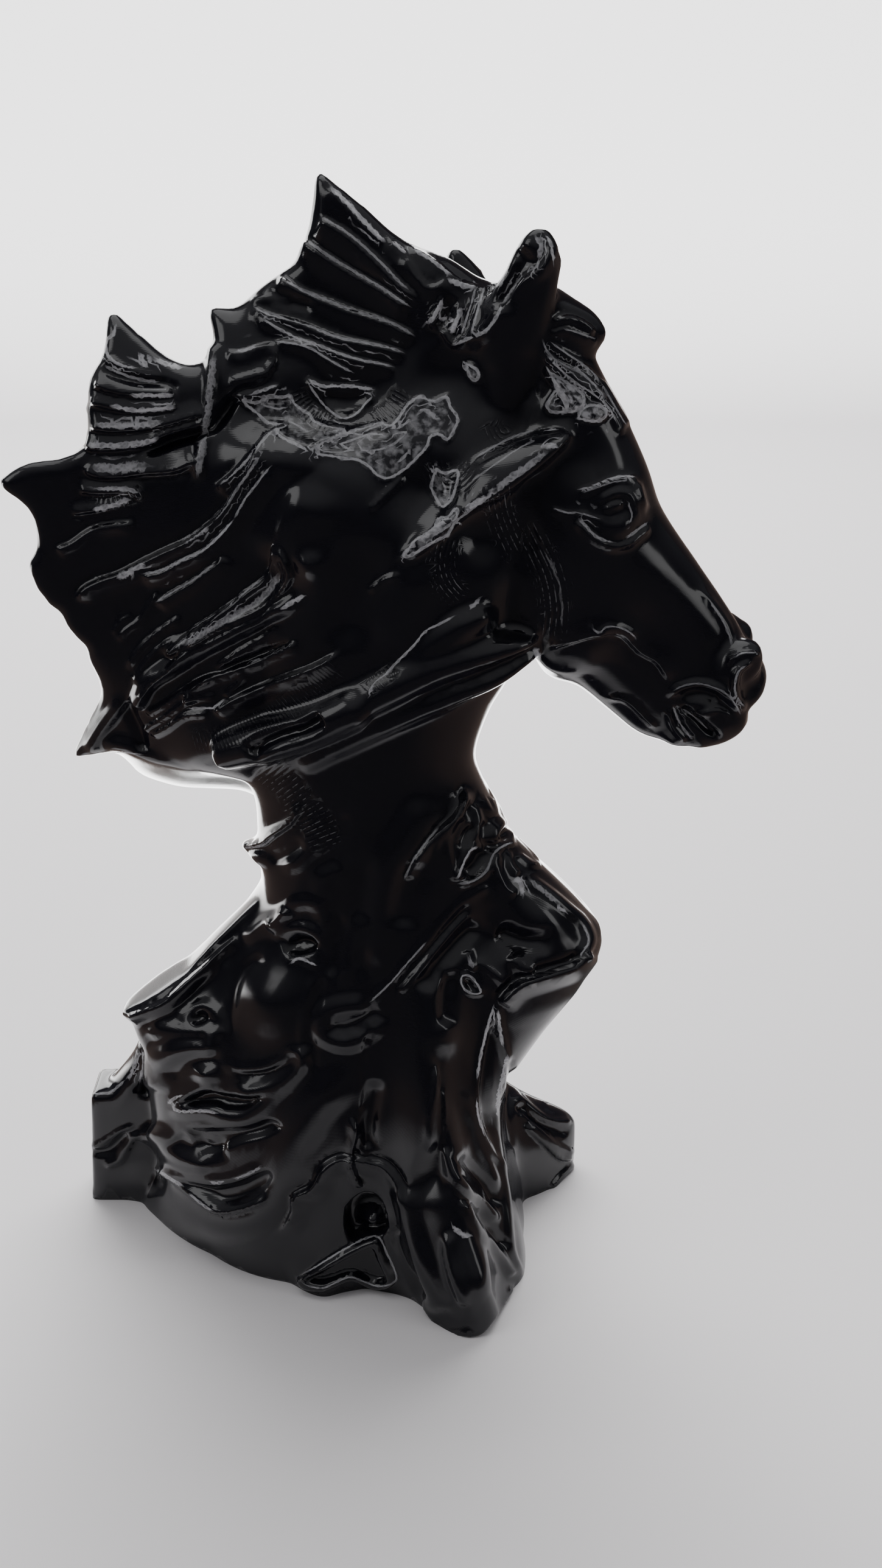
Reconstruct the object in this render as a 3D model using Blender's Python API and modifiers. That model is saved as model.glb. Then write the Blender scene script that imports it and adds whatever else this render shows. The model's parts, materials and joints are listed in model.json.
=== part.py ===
# A horse head sculpture cast in one gloss black piece with its swirling drapery base.
# The forms are drawn in millimetres in a drawing frame: +X is where the horse looks, +Z is up, and the
# middle plane of the head lies at y = middleDepth. Outlines and carving strokes are drawn on that plane
# as an onlooker sees them, and are carried to the depth at which each form lies.

import math

import bmesh
import bpy
import numpy as np
from mathutils import Matrix, Vector

# Driving dimension, in metres; every free form is a share of it
statueHeight = 0.2145

# The drawing frame, in millimetres
middleDepth = 4.0
onlooker = np.array((25.7, -297.1, 240.4))
lookDistance = middleDepth - onlooker[1]
slabHalf = 4.0

# Fineness of the forms and of the carving, in millimetres, and the triangles that the solid keeps
formGrain = 1.1
carvedGrain = 0.9
edgeWidth = 0.7
trianglesKept = 9400


# A smooth open curve through rows of any width
def smoothPath(points, perSpan=6):
    rows = np.array(points, float)
    padded = np.vstack([2 * rows[0] - rows[1], rows, 2 * rows[-1] - rows[-2]])
    out = []
    for index in range(len(rows) - 1):
        a, b, c, d = padded[index:index + 4]
        for step in range(perSpan):
            t = step / perSpan
            out.append(0.5 * (2 * b + (c - a) * t + (2 * a - 5 * b + 4 * c - d) * t ** 2
                              + (3 * b - a - 3 * c + d) * t ** 3))
    out.append(rows[-1])
    return np.array(out)


# Runs smoothly from 0 to 1 as value does
def ease(value):
    value = np.clip(value, 0, 1)
    return value * value * (3 - 2 * value)


# Distance, side (+1 on the left) and share of the length of the nearest point of a path
def nearestOnPath(places, path):
    best = np.full(len(places), 1e9)
    side = np.zeros(len(places))
    share = np.zeros(len(places))
    steps = path[1:] - path[:-1]
    lengths = np.linalg.norm(steps, axis=1)
    before = np.concatenate([[0], np.cumsum(lengths)])
    for start, step, length, run in zip(path[:-1], steps, lengths, before):
        offset = places - start
        t = np.clip((offset @ step) / length ** 2, 0, 1)
        apart = offset - t[:, None] * step
        distance = np.hypot(apart[:, 0], apart[:, 1])
        nearer = distance < best
        best[nearer] = distance[nearer]
        cross = step[0] * offset[:, 1] - step[1] * offset[:, 0]
        side[nearer] = np.sign(cross)[nearer]
        share[nearer] = ((run + t * length) / before[-1])[nearer]
    return best, side, share


# Where points show on the middle plane, seen from the near side or from its mirror image
def seenPlaces(points, far=False):
    away = points[:, 1] - middleDepth
    reach = 1 + (-away if far else away) / lookDistance
    x = onlooker[0] + (points[:, 0] - onlooker[0]) / reach
    z = onlooker[2] + (points[:, 2] - onlooker[2]) / reach
    return np.stack([x, z], axis=1)


# The point at depth y that shows at (x, z) of the middle plane
def atDepth(x, z, y):
    reach = 1 + (y - middleDepth) / lookDistance
    return Vector((onlooker[0] + (x - onlooker[0]) * reach, y,
                   onlooker[2] + (z - onlooker[2]) * reach))


def acrossMiddle(point):
    return Vector((point.x, 2 * middleDepth - point.y, point.z))


# Reading and setting a form's points
def pointsOf(form):
    points = np.empty(len(form.data.vertices) * 3, np.float32)
    form.data.vertices.foreach_get("co", points)
    return points.reshape(-1, 3).astype(float)


def putPoints(form, points):
    form.data.vertices.foreach_set("co", points.astype(np.float32).ravel())
    form.data.update()


def normalsOf(form):
    normals = np.empty(len(form.data.vertices) * 3, np.float32)
    form.data.vertex_normals.foreach_get("vector", normals)
    return normals.reshape(-1, 3).astype(float)


# Makes a form's modifiers its mesh
def settle(form):
    graph = bpy.context.evaluated_depsgraph_get()
    mesh = bpy.data.meshes.new_from_object(form.evaluated_get(graph))
    form.modifiers.clear()
    form.data = mesh


def evenOut(form, grain):
    remesh = form.modifiers.new("Even", "REMESH")
    remesh.mode = "VOXEL"
    remesh.voxel_size = grain
    settle(form)


def relax(form, factor, rounds):
    smooth = form.modifiers.new("Relax", "SMOOTH")
    smooth.factor = factor
    smooth.iterations = rounds
    settle(form)


def keepForm(name, bm):
    bmesh.ops.recalc_face_normals(bm, faces=bm.faces)
    mesh = bpy.data.meshes.new(name)
    bm.to_mesh(mesh)
    bm.free()
    form = bpy.data.objects.new(name, mesh)
    guides.objects.link(form)
    return form


# A sphere whose rings are moved by place(ring, angle) and whose poles close its ends
def skinOverRings(name, ringCount, sides, place):
    bm = bmesh.new()
    bmesh.ops.create_uvsphere(bm, u_segments=sides, v_segments=ringCount + 1, radius=1)
    for vertex in bm.verts:
        ring = round(math.acos(max(-1, min(1, vertex.co.z))) * (ringCount + 1) / math.pi)
        angle = math.atan2(vertex.co.y, vertex.co.x)
        if 1 <= ring <= ringCount:
            vertex.co = place(ring - 1, angle)
        else:
            end = 0 if ring == 0 else ringCount - 1
            vertex.co = (place(end, 0) + place(end, math.pi)) / 2
    return keepForm(name, bm)


def blunt(value, square):
    return math.copysign(abs(value) ** square, value)


# A body between two outlines: rows of low x, low z, high x, high z and half width
def trunk(name, stations, sides=48, perSpan=4, square=0.92):
    rows = smoothPath(stations, perSpan)

    def place(ring, angle):
        lowX, lowZ, highX, highZ, half = rows[ring]
        low = Vector((lowX, middleDepth, lowZ))
        high = Vector((highX, middleDepth, highZ))
        return ((low + high) / 2 + (high - low) / 2 * blunt(math.cos(angle), square)
                + Vector((0, half, 0)) * blunt(math.sin(angle), square))

    return skinOverRings(name, len(rows), sides, place)


# A tapering lock: rows of ridge x, ridge z, middle depth, reach above and below the ridge, reach out
def lock(name, points, square=1.0, sides=24, perSpan=6, bothSides=False):
    rows = smoothPath(points, perSpan)
    for far in (False, True) if bothSides else (False,):
        centres = [atDepth(*row[:3]) for row in rows]
        if far:
            centres = [acrossMiddle(centre) for centre in centres]

        def place(ring, angle):
            ahead = centres[min(ring + 1, len(rows) - 1)]
            behind = centres[max(ring - 1, 0)]
            run = (ahead - behind).normalized()
            up = run.cross(Vector((0, 1, 0))).normalized()
            up = -up if up.z < 0 else up
            out = run.cross(up).normalized()
            above, below, reach = (max(value, 0.15) for value in rows[ring][3:6])
            rise = blunt(math.sin(angle), square)
            return (centres[ring] + up * rise * (above if rise > 0 else below)
                    + out * reach * blunt(math.cos(angle), square))

        skinOverRings(name, len(rows), sides, place)


# An egg shape turned about the axis across the head, on the near side and mirrored to the far side
def egg(name, x, z, depth, radii, turn, bothSides=True):
    for far in (False, True) if bothSides else (False,):
        centre = atDepth(x, z, depth)
        centre = acrossMiddle(centre) if far else centre
        bm = bmesh.new()
        shape = Matrix.Diagonal((*radii, 1))
        place = Matrix.Translation(centre) @ Matrix.Rotation(math.radians(turn), 4, "Y") @ shape
        bmesh.ops.create_icosphere(bm, subdivisions=4, radius=1, matrix=place)
        keepForm(name, bm)


# The outline through stretches that are each smooth and meet at corners
def outlineThrough(stretches):
    outline = []
    for stretch in stretches:
        for x, z in smoothPath(stretch, 4):
            if not outline or math.hypot(x - outline[-1][0], z - outline[-1][1]) > 0.3:
                outline.append((x, z))
    return outline


# A rounded slab inside an outline: depthAt and halfAt give its middle depth and half thickness
def plate(name, stretches, depthAt, halfAt):
    outline = outlineThrough(stretches)
    curve = bpy.data.curves.new(name, "CURVE")
    curve.dimensions = "2D"
    curve.fill_mode = "BOTH"
    curve.extrude = slabHalf
    spline = curve.splines.new("POLY")
    spline.points.add(len(outline) - 1)
    for point, (x, z) in zip(spline.points, outline):
        point.co = (x, z, 0, 1)
    spline.use_cyclic_u = True
    slab = bpy.data.objects.new(name, curve)
    guides.objects.link(slab)
    graph = bpy.context.evaluated_depsgraph_get()
    mesh = bpy.data.meshes.new_from_object(slab.evaluated_get(graph))
    bpy.data.objects.remove(slab)
    bm = bmesh.new()
    bm.from_mesh(mesh)
    bmesh.ops.remove_doubles(bm, verts=bm.verts, dist=0.001)
    form = keepForm(name, bm)
    evenOut(form, formGrain)
    shapeSlab(form, outline, depthAt, halfAt)


# Gives a flat slab its rounded rim and carries it to its depth
def shapeSlab(form, outline, depthAt, halfAt):
    points = pointsOf(form)
    drawn = points[:, [0, 1]]
    distance, _, _ = nearestOnPath(drawn, np.array(outline + outline[:1]))
    half = halfAt(drawn)
    rounding = np.clip(distance / half, 0, 1)
    thick = half * np.sqrt(1 - (1 - rounding) ** 2)
    middle = depthAt(drawn)
    reach = 1 + (middle - middleDepth) / lookDistance
    level = np.clip(points[:, 2] / slabHalf, -1, 1)
    x = onlooker[0] + (drawn[:, 0] - onlooker[0]) * reach
    z = onlooker[2] + (drawn[:, 1] - onlooker[2]) * reach
    putPoints(form, np.stack([x, middle - level * thick, z], axis=1))


# The head: rows of jaw point, brow point and half width, from the poll to the lips
headRows = [
    (34, 172, 49, 193, 6.5), (35, 163, 52.6, 184, 10.5), (37, 152, 58.8, 173, 13.0),
    (39, 143, 62.7, 164.9, 14.0), (41, 134, 65.2, 158.1, 13.2), (45, 125.8, 69, 152, 11.8),
    (51, 123.4, 73.2, 146, 10.0), (57.5, 118, 76.8, 141, 8.6), (63, 113.5, 79.8, 136.6, 7.8),
    (68, 111.8, 82.5, 132.7, 7.6), (72.5, 110.8, 85.4, 129.4, 8.0), (76, 110.8, 87.3, 125.4, 7.8),
    (78.5, 111.8, 86.4, 121, 6.9), (80.3, 113.2, 84.8, 117.6, 5.0),
]


def makeHead():
    trunk("head", headRows)
    egg("cheek", 53.5, 139.5, -1.2, (10.5, 7.6, 15.5), 28)
    egg("brow", 56.4, 158.4, -4.8, (6.4, 4.2, 5.8), 28)
    egg("eyeball", 58.2, 155.4, -6.6, (3.4, 2.6, 3.0), 20)
    egg("throat", 43.6, 143.5, -2.6, (6.6, 7.0, 12.5), 8)
    egg("nostril", 81.6, 125.6, -1.6, (4.4, 4.0, 6.6), 24)
    egg("upperLip", 79.0, 116.6, 0.5, (4.6, 5.2, 4.2), 20)
    egg("lowerLip", 75.0, 113.4, 1.0, (3.8, 4.6, 3.2), 20)
    egg("chin", 71.0, 113.6, 1.4, (3.6, 4.2, 3.2), 10)


# The ears: the near one is pricked, the far one is laid back behind the crest
def makeEars():
    lock("nearEar", [
        (33.0, 168, 2.0, 3.0, 3.0, 3.0), (35.0, 176, 0.5, 8.0, 7.0, 5.0), (37.2, 184, -0.8, 7.6, 6.4, 4.8),
        (39.4, 191, -2.4, 6.2, 5.6, 4.2), (41.0, 197, -3.6, 5.0, 4.8, 3.6),
        (42.0, 201.5, -4.0, 3.8, 3.8, 2.8), (42.6, 204.6, -4.0, 2.4, 2.4, 1.8),
        (42.8, 205.8, -4.0, 1.0, 1.0, 0.8)])
    lock("farEar", [
        (37.0, 180, 11.0, 5.0, 5.0, 5.0), (33.0, 190, 12.5, 4.9, 4.9, 4.4),
        (29.7, 197.5, 13.5, 3.2, 3.4, 3.4), (27.6, 202.2, 13.5, 1.2, 1.2, 1.4)])


# The neck: rows of nape point, throat point and half width, from inside the base to the poll
neckRows = [
    (-11, 58, 40, 54, 20), (-10, 72, 40, 70, 19.5), (-10, 82, 39.5, 82, 18), (-10.3, 92, 38, 94, 16.6),
    (-10.5, 100, 34.5, 101.5, 15.6), (-12.5, 107, 32.3, 109, 15.2), (-14, 118, 35, 118.5, 15.6),
    (-13, 132, 39, 126, 16.8), (-11, 146, 43, 136, 17.6), (-8, 158, 45, 147, 17.6),
    (-4, 167, 46, 158, 16.2), (2, 172, 47, 166, 13.5), (10, 179, 48, 174, 9.5),
    (20, 189, 48, 182, 7.5), (28, 196, 48, 189, 5.0),
]

# The mane's edge, clockwise from the poll, in stretches that meet at its tips
maneEdge = [
    [(37, 197.5), (33, 197.2), (27, 200.8), (19, 204), (13, 209), (5.0, 215.3)],
    [(4.6, 214.5), (3.5, 207), (1, 200.5), (-2.5, 198), (-7, 194.8), (-9.5, 192.6), (-14.5, 192.9)],
    [(-14.5, 192), (-14, 186), (-17, 183), (-21.5, 184), (-27.5, 189.2), (-30.8, 192.4)],
    [(-32, 191.4), (-33.4, 184.5), (-36, 180.5), (-37, 174), (-37.5, 169), (-42, 166.5), (-49, 165.4),
     (-54.2, 162.2)],
    [(-53.4, 160.5), (-48.9, 156.5), (-48, 150.5), (-50.2, 146.5), (-48, 140.5), (-44.5, 135.5),
     (-41, 129.5), (-39.2, 121), (-41.2, 116.5), (-45.6, 108.2)],
    [(-45.2, 107.6), (-37.5, 109), (-31, 108.5), (-19.5, 105.5), (-9, 103)],
    [(4, 112), (20, 140), (36, 172), (41, 188)],
]

neckSpine = [(-8, 108), (-4, 130), (-2, 150), (6, 168), (20, 182), (33, 192)]


# Half thickness of the mane: full beside the neck, thin at its tips, slim above the neck's ledge
def maneHalf(drawn):
    distance, _, _ = nearestOnPath(drawn, smoothPath(neckSpine))
    full = 1.9 + 9.5 * np.exp(-(distance / 21) ** 2)
    slim = 1.9 + 3.6 * np.exp(-(distance / 26) ** 2)
    above = ease((drawn[:, 1] - 0.16 * drawn[:, 0] - 168) / 9)
    return full + (slim - full) * above


# The mane sways: its upper fan leans away, its middle tips come near
def maneDepth(drawn):
    x, z = drawn[:, 0], drawn[:, 1]
    out = np.clip((6 - x) / 58, 0, 1)
    top = ease((z - 176) / 22)
    low = ease((132 - z) / 24)
    return middleDepth + 5.0 * top * np.clip((30 - x) / 26, 0, 1) - 4.5 * out * (1 - top) + 7.0 * out * low


def makeMane():
    plate("mane", maneEdge, maneDepth, maneHalf)
    lock("maneShelf", [
        (-36.8, 108.6, 6, 0.8, 1.0, 3.0), (-33.5, 106.8, 6.5, 0.9, 1.2, 6.6), (-29, 105.7, 7, 1, 1.4, 8.0),
        (-24, 105.4, 7.5, 1, 1.5, 8.4), (-18.5, 105.2, 7.5, 1, 1.6, 8.4), (-14, 104.6, 7.5, 1, 1.8, 8.0),
        (-10, 103.4, 8, 1, 3.0, 7.0), (-4, 101.0, 8, 3.0, 4.0, 6.0)])
    lock("maneCurtain", [
        (-38.5, 110.5, 7.5, 3.0, 3.0, 2.0), (-33, 109.5, 9.5, 4.0, 4.0, 3.5), (-27, 109, 11, 4.6, 4.0, 3.6),
        (-20, 108, 12, 5.0, 4.0, 3.6), (-12, 106, 12.5, 5.4, 4.4, 3.6), (-3, 104, 11, 6.0, 5.0, 4.0)])
    lock("napeSpike", [
        (-13.8, 89.2, 4, 0.7, 0.7, 0.8), (-11, 88.5, 3, 1.6, 1.8, 3.0), (-7, 88, 1, 3.5, 3.0, 6.0),
        (0, 88, 0, 4.0, 4.0, 8.0)])


# The locks that cross the neck behind the cheek, and the forelock
def makeLocks():
    lock("upperLock", [
        (14, 145, -6, 3.0, 2.0, 5.0), (22, 151.3, -8.5, 5.0, 1.6, 6.5), (29, 156.2, -9.5, 6.4, 1.8, 6.5),
        (36, 161.0, -9.5, 6.0, 1.8, 6.0), (42, 165.4, -9.0, 4.6, 1.6, 5.2),
        (46.5, 168.6, -8.5, 2.6, 1.2, 4.2),
        (48.7, 170.4, -8.2, 1.0, 0.8, 2.6)], square=1.25, bothSides=True)
    lock("rollLock", [
        (-16, 108.5, -6, 2.6, 2.4, 4.0), (-6, 112.3, -8.8, 3.4, 3.2, 4.6), (5, 117, -10.0, 3.9, 3.6, 5.2),
        (15, 122.4, -10.5, 4.1, 3.8, 5.6), (24, 126.8, -10.0, 3.9, 3.4, 5.6),
        (32, 129.4, -9.2, 3.3, 2.8, 5.4),
        (39, 131.3, -8.0, 2.3, 1.8, 4.8), (43.0, 132.3, -6.8, 0.9, 0.9, 3.0)], bothSides=True)
    lock("underRoll", [
        (0, 107.5, -7.5, 2.2, 2.2, 4.0), (9, 112.6, -9.0, 3.0, 2.6, 4.2), (19, 117.8, -9.4, 3.2, 2.8, 4.4),
        (28, 121.8, -8.6, 3.0, 2.6, 4.6), (36, 125.2, -7.0, 2.2, 2.0, 4.6),
        (43, 129.4, -5.0, 1.0, 1.0, 3.2)],
        bothSides=True)
    lock("webLock", [
        (12, 120, -8.5, 2.0, 2.0, 4.0), (19, 127, -9.5, 3.6, 3.0, 4.6), (25, 132.6, -10, 3.8, 4.6, 4.8),
        (30.5, 136.5, -10, 2.6, 5.0, 4.6), (34.5, 138.0, -9, 1.0, 4.0, 3.4)], square=1.2, bothSides=True)
    plate("forelock", [
        [(44, 197), (46, 195.8), (48.5, 194.2), (52.3, 191.7), (54.7, 188.6)],
        [(54.5, 187.2), (52.8, 184.8), (52.0, 182.4), (52.7, 180.2), (54.3, 178.2), (57.5, 173.8)],
        [(50, 168), (41, 178), (41, 190)]],
        lambda drawn: 2.0 + 0 * drawn[:, 0],
        lambda drawn: 2.4 + 6.0 * np.clip((54 - drawn[:, 0]) / 12, 0, 1))


# The base: a core of oval rings up to the neck, drawn out by lobes of drapery
baseRings = [-12, -4, 0, 5, 11, 18, 26, 34, 42, 50, 58, 66, 74, 82, 90, 97]
coreHeights = [-4, 0, 12, 25, 38, 50, 62, 74, 86, 98]
coreMiddle = [(6, 5), (6, 5), (6, 5), (6, 5), (6.5, 5), (7.5, 5), (9.5, 5), (11.5, 4.5), (13.5, 4), (13, 4)]
coreReach = [(36, 29), (36, 29), (35, 28), (33, 26.5), (31.5, 25.5), (29.5, 24), (26, 22), (23.5, 19.5),
             (22.5, 17.5), (21.5, 16)]

# Each lobe: its direction and spread in degrees, and how far it reaches at heights of its own
baseLobes = {
    "frontFoot": (-56, 11, [(-4, 17), (0, 18), (12, 18), (20, 13.5), (32, 10), (45, 8.5), (58, 5.5),
                            (72, 2), (82, 0)]),
    "frontWall": (-34, 15, [(-4, 8.5), (0, 8.5), (12, 8), (25, 5.5), (45, 2), (55, 0)]),
    "rightFoot": (19, 10, [(-4, 20), (0, 20), (11, 19), (14, 16), (19, 9), (25, 3), (30, 0)]),
    "chest": (-3, 30, [(30, 0), (36, 1), (41, 5), (50, 11.5), (59, 19), (66, 22.6), (70.5, 23.6), (76, 18.6),
                       (85, 9.5), (92, 3.5), (98, 0)]),
    "leftPeak": (179, 24, [(0, 2.5), (12, 5), (25, 8), (36, 10.5), (41, 11.5), (46, 15), (50, 16.5),
                           (54, 14.4), (60, 9), (67, 5), (74, 2.4), (80, 0), (86, 0)]),
    "leftBelly": (-150, 26, [(-4, -1.5), (0, -1), (8, 1.5), (16, 3), (30, 2.5), (44, 1), (55, 0)]),
    "backLeft": (140, 22, [(-4, 10), (0, 10), (15, 9), (35, 5), (60, 1), (70, 0)]),
    "backFoot": (75, 20, [(-4, 8), (0, 8), (14, 6), (34, 3), (55, 0)]),
}


# The hem's outline on the ground: direction in degrees and reach, and how high it blends into the form
baseHem = [(-180, 45.0), (-174, 41.8), (-162, 37.4), (-150, 33.0), (-136, 30.8), (-124, 29.0), (-114, 27.6),
     (-105, 29.4), (-98, 30.2), (-91, 28.2), (-81, 27.2), (-70, 30.4), (-65, 33.4), (-62, 42.0), (-58, 48.2),
     (-53, 48.8), (-49, 46.4), (-42, 44.3), (-33, 43.8), (-16, 38.8), (2, 37.4), (6, 43.6), (10, 47.6),
     (15, 52.0), (20, 50.0), (26, 43.0), (36, 37.0), (60, 35.0), (75, 38.0), (90, 36.0), (110, 34.5),
     (130, 37.5), (150, 41.0), (165, 43.5), (180, 45.0)]
hemHeight = 15.0


def baseReach(angle, height):
    along, across = (np.interp(height, coreHeights, [row[k] for row in coreReach]) for k in (0, 1))
    reach = 1 / math.hypot(math.cos(angle) / along, math.sin(angle) / across)
    for direction, spread, profile in baseLobes.values():
        away = math.degrees(angle) - direction
        away = (away + 180) % 360 - 180
        heights, reaches = zip(*profile)
        reach += np.interp(height, heights, reaches, right=0) * math.exp(-(away / spread) ** 2)
    return reach


# Low down, the reach runs out to the hem's own outline
def hemReach(angle, height):
    hem = np.array(baseHem, float)
    share = min(1, max(0, 1 - height / hemHeight)) ** 1.5
    outline = float(np.interp(math.degrees(angle), hem[:, 0], hem[:, 1]))
    return baseReach(angle, height) * (1 - share) + outline * share


# The block that stands beside the hem: its middle and size, and how far its outer top leans in
blockPlace = (-40.2, 12.0, 7.8)
blockSize = (24.4, 11.2, 40)
blockLean = 3.0


def makeBase():
    heights = smoothPath([(height,) for height in baseRings], 3)[:, 0]

    def place(ring, angle):
        height = float(heights[ring])
        middle = [np.interp(height, coreHeights, [row[k] for row in coreMiddle]) for k in (0, 1)]
        reach = hemReach(angle, height)
        return Vector((middle[0] + reach * math.cos(angle), middle[1] + reach * math.sin(angle), height))

    skinOverRings("base", len(heights), 160, place)
    trunk("neck", neckRows)
    bm = bmesh.new()
    place = Matrix.Translation(blockPlace) @ Matrix.Diagonal((*blockSize, 1))
    bmesh.ops.create_cube(bm, size=1, matrix=place)
    for vertex in bm.verts:
        vertex.co.x += blockLean if vertex.co.z > 0 and vertex.co.x < blockPlace[0] else 0
    keepForm("block", bm)
    lock("fold", [
        (-35.6, 44, 10, 1.4, 1.6, 2.4), (-37.4, 38.6, 10.5, 2.2, 2.4, 4.0), (-40, 33.2, 11, 3.4, 3.4, 5.0),
        (-42.8, 28.6, 11.5, 4.2, 4.0, 5.2)])
    lock("shoulder", [
        (-9.6, 78.0, 2, 0.8, 5.0, 3.0), (-13.8, 73.8, 2, 0.8, 5.0, 3.4), (-20.9, 66.3, 2, 0.8, 5.0, 4.0),
        (-25.4, 61.3, 2, 0.8, 5.0, 5.0), (-29.3, 58.4, 2, 0.8, 5.0, 5.6), (-33.9, 55.2, 2, 0.7, 4.6, 5.4),
        (-38.6, 51.8, 2, 0.6, 3.0, 3.6), (-40.4, 50.2, 2, 0.4, 1.0, 1.6)], square=0.45)


# Carving strokes: kind, width, height, share of the length that fades in and out, then the path.
# A ridge stands up and a groove sinks on both sides of its path. A lap is a step: it stands up on the
# left of its path and falls away gently, like a lock of hair that lies over the next; a lapR mirrors it.
headStrokes = [
    ("ridge", 1.5, 0.7, 0.25, 0.3, [(48.3, 159.1), (49.9, 160.3), (52, 161.1), (54.2, 161.5),
                                    (56.9, 162.5), (59.1, 162.9), (61.3, 163.2)]),
    ("groove", 1.6, 0.5, 0.3, 0.3, [(49.4, 157.6), (52.1, 158.9), (54.8, 159.8), (57.5, 160.5)]),
    ("ridge", 1.4, 0.8, 0.2, 0.2, [(51.2, 155.1), (52.7, 153.3), (54.3, 151.7), (56.3, 150.6),
                                   (59.7, 150.3), (61.8, 151.9), (63.1, 154.4)]),
    ("groove", 1.4, 0.5, 0.3, 0.3, [(50.4, 153.3), (53.5, 149.7), (57.5, 147.6), (61.7, 148.4)]),
    ("ridge", 4.5, 0.8, 0.3, 0.3, [(60.8, 149.6), (66.1, 143.8), (72.7, 136.7), (79.9, 130.7)]),
    ("groove", 5.0, 0.7, 0.35, 0.35, [(62, 144), (67, 137), (72.5, 131), (77, 127)]),
    ("ridge", 1.5, 1.1, 0.2, 0.3, [(84.8, 129.7), (82, 127.8), (80.9, 124.6), (81.4, 120.9),
                                   (83.4, 118.2)]),
    ("ridge", 1.5, 1.0, 0.25, 0.3, [(67.8, 118.2), (70.2, 121.4), (74.7, 122.6), (79, 121.4),
                                    (81.6, 118.8)]),
    ("groove", 1.9, 0.8, 0.3, 0.3, [(70.1, 118.4), (73.2, 119.7), (76.7, 119.3), (79.5, 117.4)]),
    ("ridge", 2.0, 0.5, 0.3, 0.3, [(57.5, 120.9), (63.5, 117.2), (69.6, 112.1)]),
    ("ridge", 4.0, 0.9, 0.3, 0.3, [(40.5, 162), (44, 153), (47.1, 143.8), (47.9, 136.7), (47.3, 130.5)]),
    ("lapR", 2.6, 0.8, 0.2, 0.4, [(44.5, 184.5), (49, 181), (53.5, 177.6), (58.5, 172.8)]),
    ("lapR", 2.4, 0.8, 0.2, 0.4, [(43.6, 181.6), (48.5, 178.2), (53, 175), (56.5, 171.6)]),
    ("lapR", 2.2, 0.7, 0.2, 0.4, [(45, 187.4), (49.6, 184.4), (52.6, 181.2)]),
    ("lapR", 2.0, 0.7, 0.2, 0.3, [(44.6, 190.8), (48.5, 190.2), (52.8, 188.6)]),
    ("groove", 1.8, 0.8, 0.3, 0.3, [(45.5, 193.6), (49, 192.2), (52.6, 190.2)]),
    ("groove", 2.4, 1.8, 0.15, 0.35, [(41.6, 203.2), (39.8, 199), (37.6, 194.4), (35.2, 190),
                                      (33, 187.4)]),
    ("lap", 2.4, 0.9, 0.2, 0.3, [(41, 198.2), (38, 194.8), (36.4, 190.9), (33.7, 188.2), (27.5, 185.9)]),
]

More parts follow.
